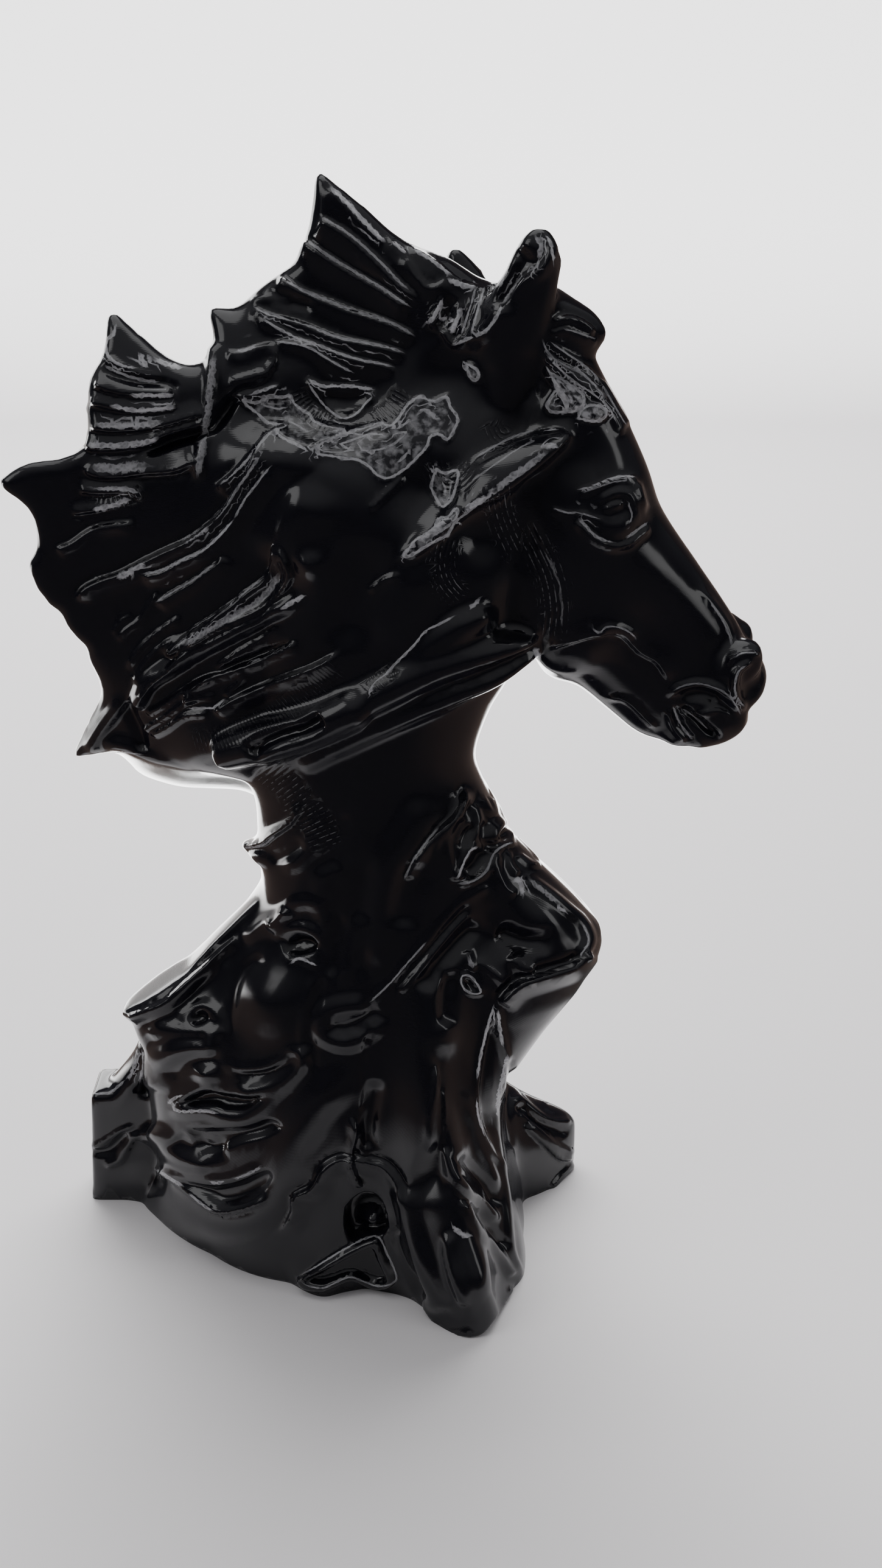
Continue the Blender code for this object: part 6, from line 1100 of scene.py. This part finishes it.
# How the carving falls away, in millimetres or as shares
relief = {
    "lapFall": 1.3,                        # how a lap's high side falls away
    "lapSinks": 0.4,                       # how deep its low side lies, as a share of its height
    "rimReach": 0.7,                       # the fine burr round a scuffed place
    "rimHeight": 0.35,
    "turning": 1.6,                        # how fast the carving fades where the surface turns away
    "farHair": 0.5,                        # share of the hair's and cloth's carving on the far side
}


def strokeProfile(kind, offset, width):    # how much a stroke lifts at each distance from its path
    if kind in ("ridge", "groove"):
        band = np.clip(1 - (offset / width) ** 2, 0, 1) ** 2
        return band if kind == "ridge" else -band
    offset = -offset if kind == "lapR" else offset
    crisp = min(drawing["crisp"], width / 4)
    raised = np.clip(1 - np.clip(offset, 0, None) / width, 0, 1) ** relief["lapFall"]
    sunk = -relief["lapSinks"] * np.clip(1 + np.clip(offset, None, 0) / (width * 0.5), 0, 1) ** 2
    step = ease(0.5 + offset / (2 * crisp))
    return sunk * (1 - step) + raised * step


def nearPath(seen, path, reach):           # the places in a path's box, grown by a reach
    low, high = path.min(axis=0) - reach, path.max(axis=0) + reach
    return np.nonzero(np.all((seen > low) & (seen < high), axis=1))[0]


def strokeLift(seen, strokes):
    lift = np.zeros(len(seen))
    for kind, width, height, fadeIn, fadeOut, points in strokes:
        path = smoothPath(points)
        near = nearPath(seen, path, width)
        if len(near):
            distance, side, share = nearestOnPath(seen[near], path)
            fade = ease(share / max(fadeIn, 0.01)) * ease((1 - share) / max(fadeOut, 0.01))
            lift[near] += height * fade * strokeProfile(kind, distance * side, width)
    return lift


def swellLift(seen, swells):
    lift = np.zeros(len(seen))
    for x, z, alongX, alongZ, turn, height in swells:
        c, s = math.cos(math.radians(turn)), math.sin(math.radians(turn))
        across, up = seen[:, 0] - x, seen[:, 1] - z
        spread = ((across * c - up * s) / alongX) ** 2 + ((across * s + up * c) / alongZ) ** 2
        lift += height * np.exp(-spread)
    return lift


def nearOutline(seen, outline, reach):     # places near a closed outline, how far off and whether inside
    path = smoothPath([*outline, outline[0]])
    near = nearPath(seen, path, reach)
    places = seen[near]
    inside = np.zeros(len(near), bool)
    for (x1, z1), (x2, z2) in zip(path[:-1], path[1:]):
        if z1 != z2:
            spans = (z1 > places[:, 1]) != (z2 > places[:, 1])
            inside ^= spans & (places[:, 0] < (x2 - x1) * (places[:, 1] - z1) / (z2 - z1) + x1)
    distance = nearestOnPath(places, path)[0] if len(near) else np.zeros(0)
    return near, distance, inside


def panelLift(seen, panels):               # a plateau or a hollow inside a closed outline
    lift = np.zeros(len(seen))
    for height, edge, outline in panels:
        near, distance, inside = nearOutline(seen, outline, 0)
        lift[near] += height * inside * ease(distance / edge)
    return lift


def rimLift(seen, scuffs):
    lift = np.zeros(len(seen))
    reach = relief["rimReach"]
    for _, outline in scuffs:
        near, distance, _ = nearOutline(seen, outline, reach)
        lift[near] += relief["rimHeight"] * np.clip(1 - (distance / reach) ** 2, 0, 1)
    return lift


# Carves both sides: the far side repeats the near one's face, its hair and cloth plainer
def carve(form):
    points = pointsOf(form)
    normals = normalsOf(form)
    moved = np.zeros(len(points))
    for far, soft in ((False, 1.0), (True, relief["farHair"])):
        facing = normals[:, 1] if far else -normals[:, 1]
        weight = ease(0.5 + facing * relief["turning"])
        seen = seenPlaces(points, far)
        for part, share in ((head, 1.0), (mane, soft), (base, soft)):
            moved += weight * share * strokeLift(seen, part["strokes"])
            moved += weight * share * swellLift(seen, part["swells"])
            moved += weight * share * panelLift(seen, part.get("panels", []))
            moved += weight * rimLift(seen, part.get("scuffs", [])) * (not far)
    putPoints(form, points + normals * moved[:, None])


def joinForms(name):
    bm = bmesh.new()
    for form in list(workshop.objects):
        bm.from_mesh(form.data)
        bpy.data.objects.remove(form)
    return keepForm(name, bm)


def keepOuterSkin(form):                   # drops sealed pockets and crumbs
    bm = bmesh.new()
    bm.from_mesh(form.data)
    bm.verts.ensure_lookup_table()
    reached = np.zeros(len(bm.verts), bool)
    skins = []
    for first in bm.verts:
        if reached[first.index]:
            continue
        reached[first.index] = True
        skin = [first]
        for vertex in skin:
            for edge in vertex.link_edges:
                other = edge.other_vert(vertex)
                if not reached[other.index]:
                    reached[other.index] = True
                    skin.append(other)
        skins.append(skin)
    skins.sort(key=len)
    for skin in skins[:-1]:
        bmesh.ops.delete(bm, geom=skin, context="VERTS")
    bm.to_mesh(form.data)
    bm.free()


def cutFoot(form):                         # the foot is flat at z = 0
    bm = bmesh.new()
    bm.from_mesh(form.data)
    cut = bmesh.ops.bisect_plane(bm, geom=bm.verts[:] + bm.edges[:] + bm.faces[:], dist=0.0001,
                                 plane_co=(0, 0, 0), plane_no=(0, 0, -1), clear_outer=True)
    rim = [item for item in cut["geom_cut"] if isinstance(item, bmesh.types.BMEdge)]
    bmesh.ops.holes_fill(bm, edges=rim)
    bmesh.ops.triangulate(bm, faces=bm.faces)
    bmesh.ops.recalc_face_normals(bm, faces=bm.faces)
    bm.to_mesh(form.data)
    bm.free()


def thinOut(form, triangles):
    count = sum(len(face.vertices) - 2 for face in form.data.polygons)
    if count > triangles:
        thin = form.modifiers.new("Thin", "DECIMATE")
        thin.ratio = triangles / count
        settle(form)


# Marks on the finish, kept as distances so that they stay fine between the mesh's points. The wear marks:
# how much of a pale line is near (partly rubbed wear, partly painted highlight along edges), how far off in
# half widths, and how scuffed the place is; comb: strength and turns of the fine lines, which carry a
# painted highlight
marks = {
    "rim": (0.8, 0.28),                    # strength and half width of the line round a scuffed place
    "zone": 2.2,                           # how far beyond a line its distance is kept
    "touch": (0.95, 0.4),                  # how far beyond it the line is felt, and over how far that fades
    "narrowest": 0.4,                      # share of a line's width at its ends
    "furthest": 4,                         # half widths at which distances are cut off
    "lineEnds": 0.08,                      # share of the length that fades at each end
    "combEnds": 0.12,
    "scuffReach": 0.6,
    "turning": (0.6, 2),
    "far": 0.4,                            # share of the strength on the far side
}


def linesOf(part, scuffs):
    strength, half = marks["rim"]
    lines = [(strong, width / 2, smoothPath(path)) for strong, width, path in part.get("wearAndHighlights", [])]
    return lines + [(strength, half, smoothPath([*outline, outline[0]], 3)) for _, outline in scuffs]


# Pale lines, partly rubbed wear and partly painted highlights along edges
def paintLines(seen, weight, lines, wearAndHighlights): # the nearest line gives a place its distance
    nearest = np.full(len(seen), 9.0)
    felt, fade = marks["touch"]
    furthest = marks["furthest"]
    for strength, half, path in lines:
        near = nearPath(seen, path, half + marks["zone"])
        near = near[weight[near] > 0]
        if not len(near):
            continue
        distance, side, share = nearestOnPath(seen[near], path)
        closed = np.allclose(path[0], path[-1])
        ends = np.ones(len(near)) if closed else ease(np.minimum(share, 1 - share) / marks["lineEnds"])
        touch = weight[near] * strength * ends * ease((felt + half - distance) / fade)
        narrow = half * (marks["narrowest"] + (1 - marks["narrowest"]) * ends)
        chosen = distance < nearest[near]
        put = near[chosen]
        nearest[put] = distance[chosen]
        wearAndHighlights[put, 0] = touch[chosen]
        wearAndHighlights[put, 1] = np.clip((side * distance / narrow)[chosen], -furthest, furthest)


def paintScuffs(seen, weight, scuffs, wearAndHighlights):
    for strength, outline in scuffs:
        near, distance, inside = nearOutline(seen, outline, marks["scuffReach"])
        touch = weight[near] * strength * ease(0.5 + np.where(inside, distance, -distance))
        wearAndHighlights[near, 2] = np.maximum(wearAndHighlights[near, 2], touch)


def paintCombs(seen, weight, combs, comb):
    for kind, strength, pitch, reach, points in combs:
        path = smoothPath(points)
        near = nearPath(seen, path, reach)
        near = near[weight[near] > 0]
        distance, side, share = nearestOnPath(seen[near], path)
        length = np.linalg.norm(path[1:] - path[:-1], axis=1).sum()
        ends = ease(np.minimum(share, 1 - share) / marks["combEnds"])
        touch = weight[near] * strength * ends * ease((reach - distance) / (reach * 0.5))
        chosen = touch > comb[near, 0]
        turns = share * length if kind == "across" else side * distance
        comb[near[chosen], 0] = touch[chosen]
        comb[near[chosen], 1] = (turns / pitch)[chosen]


# Paints the pale lines (rubbed wear and painted highlights), the scuffs and the fine comb lines with their
# painted highlight
def paintMarks(form):
    points = pointsOf(form)
    facing = normalsOf(form)[:, 1]
    wearAndHighlights, comb = np.zeros((len(points), 3)), np.zeros((len(points), 3))
    wearAndHighlights[:, 1] = marks["furthest"]
    least, turning = marks["turning"]
    for far in (False, True):
        seen = seenPlaces(points, far)
        weight = ease(least + (facing if far else -facing) * turning) * (marks["far"] if far else 1)
        lines = []
        for part in (head, mane, base):
            scuffs = [] if far else part.get("scuffs", [])
            lines += linesOf(part, scuffs)
            paintScuffs(seen, weight, scuffs, wearAndHighlights)
            paintCombs(seen, weight, part.get("combs", []), comb)
        paintLines(seen, weight, lines, wearAndHighlights)
    for name, values in (("wearAndHighlights", wearAndHighlights), ("comb", comb)):
        form.data.attributes.new(name, "FLOAT_VECTOR", "POINT").data.foreach_set("vector", values.ravel())


makeHead()
makeEars()
makeMane()
makeLocks()
makeBase()
print("forms made")
sculpture = joinForms("horseHeadSculpture")
evenOut(sculpture, drawing["formGrain"])
relax(sculpture, 0.5, 4)
evenOut(sculpture, drawing["carvedGrain"])
relax(sculpture, 0.5, 2)
carve(sculpture)
evenOut(sculpture, drawing["carvedGrain"])
keepOuterSkin(sculpture)
relax(sculpture, 0.4, 1)
print("carved:", len(sculpture.data.vertices), "points")
thinOut(sculpture, drawing["triangles"])
cutFoot(sculpture)
paintMarks(sculpture)

# Brings the drawing to the frame: its lowest middle point to the origin, and its size into the CAD box
points = pointsOf(sculpture)
lowest, highest = points.min(axis=0), points.max(axis=0)
foot = np.array(((lowest[0] + highest[0]) / 2, (lowest[1] + highest[1]) / 2, lowest[2]))
cadLow, cadHigh = (np.array(corner) for corner in cadBox)
toMetres = min((cadHigh - cadLow) / (highest - lowest)) * drawing["fill"]
putPoints(sculpture, (points - foot) * toMetres)
sculpture.data.shade_smooth()
print("triangles:", len(sculpture.data.polygons))

# The finish: glossy black plastic with the fine layers that it was printed in, level all the way up
gloss = {
    "colour": (0.006, 0.006, 0.009, 1),
    "roughness": (0.09, 0.19),             # polished and handled
    "smears": (60, 4, 0.35, 0.75),         # scale and detail of the handling, and where it begins and ends
    "layer": 0.00024,                      # height of a layer in metres
    "layerBump": 0.06,
    "layerShare": 0.12,                    # depth of the ripple between layers, as a share of the height
    "paleWearAndHighlightColour": (0.42, 0.42, 0.44, 1),   # pale where edges and supports have rubbed it dull, and painted highlights along edges
    "wearAndHighlightRoughness": 0.5,
    "crumbs": (1100, 5),                   # scale and detail of what makes a pale line ragged, whether rubbed or a painted highlight
    "ragged": 3.0,                         # in half widths of the line
    "lineEdge": (0.7, 1.2),                # in half widths too
    "lineGaps": (0.3, 0.6, 0.45, 1),       # it is fainter down to 0.45
    "specks": (700, 6),                    # scale and detail inside a scuffed place
    "speckEdge": (0.42, 0.68),
    "combDepth": 0.00005,                  # height of the fine hair lines in metres
    "combBump": 0.8,
    "hairGlintEdge": (0.75, 1.0),               # how fine the painted highlight line on each hair is
    "hairGlintGaps": (0.45, 0.62, 0, 0.35),
}


def feed(tree, socket, value):             # a link from a socket, or else a constant
    if isinstance(value, bpy.types.NodeSocket):
        tree.links.new(value, socket)
    else:
        socket.default_value = value


def mathNode(tree, operation, first, second=None, third=None, clamp=False):
    node = tree.nodes.new("ShaderNodeMath")
    node.operation = operation
    node.use_clamp = clamp
    for place, value in enumerate((first, second, third)):
        if value is not None:
            feed(tree, node.inputs[place], value)
    return node.outputs[0]


def ramp(tree, source, low, high, fromValue=0.0, toValue=1.0, kind="SMOOTHSTEP"):
    node = tree.nodes.new("ShaderNodeMapRange")
    node.interpolation_type = kind
    node.inputs["From Min"].default_value, node.inputs["From Max"].default_value = low, high
    node.inputs["To Min"].default_value, node.inputs["To Max"].default_value = fromValue, toValue
    tree.links.new(source, node.inputs["Value"])
    return node.outputs["Result"]


def mixNode(tree, factor, first, second, kind="FLOAT"):
    node = tree.nodes.new("ShaderNodeMix")
    node.data_type = kind
    for name, value in (("Factor", factor), ("A", first), ("B", second)):
        feed(tree, node.inputs[name], value)
    return node.outputs["Result"]


def bumpNode(tree, height, strength, distance, normal=None):
    node = tree.nodes.new("ShaderNodeBump")
    for name, value in (("Height", height), ("Strength", strength), ("Distance", distance)):
        feed(tree, node.inputs[name], value)
    if normal is not None:
        feed(tree, node.inputs["Normal"], normal)
    return node.outputs["Normal"]


def noise(tree, place, scale, detail):
    node = tree.nodes.new("ShaderNodeTexNoise")
    node.inputs["Scale"].default_value = scale
    node.inputs["Detail"].default_value = detail
    tree.links.new(place, node.inputs["Vector"])
    return node.outputs["Fac"]


def axesOf(tree, vector):
    parts = tree.nodes.new("ShaderNodeSeparateXYZ")
    tree.links.new(vector, parts.inputs[0])
    return [parts.outputs[axis] for axis in "XYZ"]


def readMarks(tree, name):                 # the three values of an attribute of the piece
    mark = tree.nodes.new("ShaderNodeAttribute")
    mark.attribute_name = name
    return axesOf(tree, mark.outputs["Vector"])


def makeLayerGroup():                      # level ripples of one layer's height
    group = bpy.data.node_groups.new("printLayers", "ShaderNodeTree")
    group.interface.new_socket(name="Place", in_out="INPUT", socket_type="NodeSocketVector")
    layer = group.interface.new_socket(name="Layer", in_out="INPUT", socket_type="NodeSocketFloat")
    layer.default_value = gloss["layer"]
    group.interface.new_socket(name="Ripple", in_out="OUTPUT", socket_type="NodeSocketFloat")
    given = group.nodes.new("NodeGroupInput")
    made = group.nodes.new("NodeGroupOutput")
    turns = mathNode(group, "DIVIDE", axesOf(group, given.outputs["Place"])[2], given.outputs["Layer"])
    wave = mathNode(group, "SINE", mathNode(group, "MULTIPLY", turns, 2 * math.pi))
    group.links.new(wave, made.inputs["Ripple"])
    return group


def wearAndHighlightMask(tree, place, crumbs):       # rubbed lines and painted highlight lines along edges, and scuffed places
    touch, offset, scuff = readMarks(tree, "wearAndHighlights")
    ragged = mathNode(tree, "MULTIPLY_ADD", mathNode(tree, "SUBTRACT", crumbs, 0.5), gloss["ragged"],
                      mathNode(tree, "ABSOLUTE", offset))
    line = mathNode(tree, "MULTIPLY", ramp(tree, ragged, *gloss["lineEdge"], 1, 0), touch)
    broken = mathNode(tree, "MULTIPLY", line, ramp(tree, crumbs, *gloss["lineGaps"]))
    specks = ramp(tree, noise(tree, place, *gloss["specks"]), *gloss["speckEdge"])
    return mathNode(tree, "MAXIMUM", broken, mathNode(tree, "MULTIPLY", specks, scuff))


def makeGloss():
    material = bpy.data.materials.new("glossBlack")
    material.use_nodes = True
    tree = material.node_tree
    shader = tree.nodes["Principled BSDF"]
    shader.inputs["Base Color"].default_value = gloss["colour"]
    shader.inputs["Metallic"].default_value = 0.0
    place = tree.nodes.new("ShaderNodeTexCoord").outputs["Object"]
    layers = tree.nodes.new("ShaderNodeGroup")
    layers.node_tree = makeLayerGroup()
    layers.inputs["Layer"].default_value = gloss["layer"]
    tree.links.new(place, layers.inputs["Place"])
    layered = bumpNode(tree, layers.outputs["Ripple"], gloss["layerBump"],
                       gloss["layer"] * gloss["layerShare"])
    scale, detail, low, high = gloss["smears"]
    rough = ramp(tree, noise(tree, place, scale, detail), low, high, *gloss["roughness"], "LINEAR")
    crumbs = noise(tree, place, *gloss["crumbs"])
    strength, turns, _ = readMarks(tree, "comb")
    waves = mathNode(tree, "SINE", mathNode(tree, "MULTIPLY", turns, 2 * math.pi))
    fine = mathNode(tree, "MULTIPLY", ramp(tree, waves, *gloss["hairGlintEdge"]), strength)
    hairGlints = mathNode(tree, "MULTIPLY", fine, ramp(tree, crumbs, *gloss["hairGlintGaps"]))
    wearAndGlintMask = mathNode(tree, "MAXIMUM", wearAndHighlightMask(tree, place, crumbs), hairGlints, clamp=True)
    combed = bumpNode(tree, mathNode(tree, "MULTIPLY", waves, strength), gloss["combBump"],
                      gloss["combDepth"], layered)
    feed(tree, shader.inputs["Normal"], combed)
    # Base colour: pale where rubbed or scuffed, with painted highlights along edges and on the fine hair
    # lines
    feed(tree, shader.inputs["Base Color"],
         mixNode(tree, wearAndGlintMask, gloss["colour"], gloss["paleWearAndHighlightColour"], "RGBA"))
    feed(tree, shader.inputs["Roughness"], mixNode(tree, wearAndGlintMask, rough, gloss["wearAndHighlightRoughness"]))
    return material


sculpture.data.materials.append(makeGloss())
workshop.objects.unlink(sculpture)
bpy.context.scene.collection.objects.link(sculpture)
bpy.data.collections.remove(workshop)
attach(sculpture, "root")
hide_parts("horse_head_sculpture")
print("finish applied")

# A pale floor that curves up into a bright, soft wall. In the gloss, only the stand near the sculpture and
# a bright panel on the wall are pale, and the room beyond them is dark
stage = {
    "half": 1.6,
    "front": -1.6,
    "back": 0.8,
    "curve": 0.25,
    "curveSteps": 16,
    "wall": 1.5,
    "paper": (0.78, 0.76, 0.77, 1),
    "roughness": 0.7,
    "glow": 2.1,
    "glowStarts": 0.05,                    # before the curve
    "mirrored": (0.04, 0.036, 0.034, 1),
    "mirroredSides": (0.12, 0.08, 0.062, 1),
    "sides": ((0.065, 0.09), (-0.2, -0.06)),   # how far out and how far back they begin
    "standShift": (0.02, 0, 0),            # added to a place before its distance is taken
    "stand": (0.085, 0.1),                 # pale in the gloss up to here
    "panelGlow": 8.0,
    "panelSlant": 0.19,                    # the panel's right end as seen from the sculpture
    "panelRight": (0.035, 0.085),
    "panelStarts": (0.112, 0.13),          # how far behind the sculpture, also low down
    "panelDims": (0.32, 0.42, 1, 0.15),    # and where it is dimmer, up to the wall
    "panelTop": (0.85, 0.95),
    "panelLow": (0.1, 0.32, 0.15, 1),      # dimmer low on the wall too
    "panelWall": 0.1,                      # before and past the start of the curve
}


def makePaper():
    material = bpy.data.materials.new("palePaper")
    material.use_nodes = True
    tree = material.node_tree
    shader = tree.nodes["Principled BSDF"]
    shader.inputs["Roughness"].default_value = stage["roughness"]
    shader.inputs["Emission Color"].default_value = (1, 1, 1, 1)
    place = tree.nodes.new("ShaderNodeTexCoord").outputs["Object"]
    inGloss = tree.nodes.new("ShaderNodeLightPath").outputs["Is Glossy Ray"]
    x, y, z = axesOf(tree, place)
    shifted = tree.nodes.new("ShaderNodeVectorMath")
    shifted.inputs[1].default_value = stage["standShift"]
    reach = tree.nodes.new("ShaderNodeVectorMath")
    reach.operation = "LENGTH"
    tree.links.new(place, shifted.inputs[0])
    tree.links.new(shifted.outputs[0], reach.inputs[0])

    def times(first, second):
        return mathNode(tree, "MULTIPLY", first, second)

    outFrom, backFrom = stage["sides"]
    aside = times(ramp(tree, mathNode(tree, "ABSOLUTE", x), *outFrom), ramp(tree, y, *backFrom))
    beyond = mixNode(tree, aside, stage["mirrored"], stage["mirroredSides"], "RGBA")
    offStand = times(ramp(tree, reach.outputs["Value"], *stage["stand"]), inGloss)
    feed(tree, shader.inputs["Base Color"], mixNode(tree, offStand, stage["paper"], beyond, "RGBA"))
    back = stage["back"]
    onWall = ramp(tree, y, back - stage["glowStarts"], back + stage["curve"], 0, stage["glow"])
    across = mathNode(tree, "MULTIPLY_ADD", y, -stage["panelSlant"], x)
    panel = times(ramp(tree, across, *stage["panelRight"], stage["panelGlow"], 0),
                  ramp(tree, z, *stage["panelTop"], 1, 0))
    low = times(ramp(tree, y, *stage["panelStarts"]), ramp(tree, y, *stage["panelDims"]))
    high = times(ramp(tree, y, back - stage["panelWall"], back + stage["panelWall"]),
                 ramp(tree, z, *stage["panelLow"]))
    shown = times(panel, mathNode(tree, "MAXIMUM", low, high))
    feed(tree, shader.inputs["Emission Strength"], mixNode(tree, inGloss, onWall, shown))
    return material


def makeStage():
    bm = bmesh.new()
    start = [bm.verts.new((side * stage["half"], stage["front"], 0)) for side in (-1, 1)]
    line = [bm.edges.new(start)]
    for run in ("floor", "curve", "wall"):
        if run == "curve":
            made = bmesh.ops.spin(bm, geom=line, cent=(0, stage["back"], stage["curve"]), axis=(1, 0, 0),
                                  angle=math.pi / 2, steps=stage["curveSteps"], use_merge=False)["geom_last"]
        else:
            made = bmesh.ops.extrude_edge_only(bm, edges=line)["geom"]
            step = (0, stage["back"] - stage["front"], 0) if run == "floor" else (0, 0, stage["wall"])
            bmesh.ops.translate(bm, vec=step, verts=[v for v in made if isinstance(v, bmesh.types.BMVert)])
        ends = {v for v in made if isinstance(v, bmesh.types.BMVert)}
        line = [edge for edge in bm.edges if set(edge.verts) <= ends]
    bmesh.ops.recalc_face_normals(bm, faces=bm.faces)
    mesh = bpy.data.meshes.new("backdrop")
    bm.to_mesh(mesh)
    bm.free()
    mesh.shade_smooth()
    backdrop = bpy.data.objects.new("backdrop", mesh)
    bpy.context.scene.collection.objects.link(backdrop)
    mesh.materials.append(makePaper())


# Each light: place, width, height and watts; all look at the middle of the sculpture
lights = {
    "above": ((-0.1, 0.15, 1.0), 0.9, 0.7, 3.0),
    "fill": ((0, 0.72, 0.75), 1.2, 0.5, 12.0),
    "leftSoft": ((-0.7, -0.3, 0.6), 0.4, 0.5, 1.2),
    "rightSoft": ((0.75, -0.25, 0.35), 0.2, 0.45, 0.5),
}
sky = {
    "target": (0, 0, 0.11),                # where the lights look
    "colour": (0.9, 0.9, 0.93, 1),
    "low": 0.03,
    "high": 0.45,
    "rises": (0.0, 0.95),                  # how far up it brightens
    "seen": 0.8,                           # behind the floor, for the camera alone
}


def makeLights():
    for name, (place, width, height, watts) in lights.items():
        light = bpy.data.lights.new(name, "AREA")
        light.shape = "RECTANGLE"
        light.size = width
        light.size_y = height
        light.energy = watts
        lamp = bpy.data.objects.new(name, light)
        lamp.location = place
        lamp.rotation_euler = (Vector(sky["target"]) - lamp.location).to_track_quat("-Z", "Y").to_euler()
        lamp.visible_glossy = name != "fill"
        bpy.context.scene.collection.objects.link(lamp)


def makeSky():
    world = bpy.data.worlds.new("softRoom")
    world.use_nodes = True
    tree = world.node_tree
    air = tree.nodes["Background"]
    air.inputs["Color"].default_value = sky["colour"]
    up = axesOf(tree, tree.nodes.new("ShaderNodeTexCoord").outputs["Generated"])[2]
    direct = tree.nodes.new("ShaderNodeLightPath").outputs["Is Camera Ray"]
    soft = ramp(tree, up, *sky["rises"], sky["low"], sky["high"])
    feed(tree, air.inputs["Strength"], mixNode(tree, direct, soft, sky["seen"]))
    bpy.context.scene.world = world


view = {
    "lens": 39.13,                         # millimetres, as the sensor's width is
    "sensor": 36,
    "near": 0.01,
}


def makeCamera():
    lens = bpy.data.cameras.new("onlooker")
    lens.lens = view["lens"]
    lens.sensor_width = view["sensor"]
    lens.clip_start = view["near"]
    camera = bpy.data.objects.new("onlooker", lens)
    camera.location = (eye - foot) * toMetres
    camera.rotation_euler = (math.radians(90 - drawing["lookDown"]), 0, 0)
    bpy.context.scene.collection.objects.link(camera)
    bpy.context.scene.camera = camera


makeStage()
makeLights()
makeSky()
makeCamera()
print("stage set")
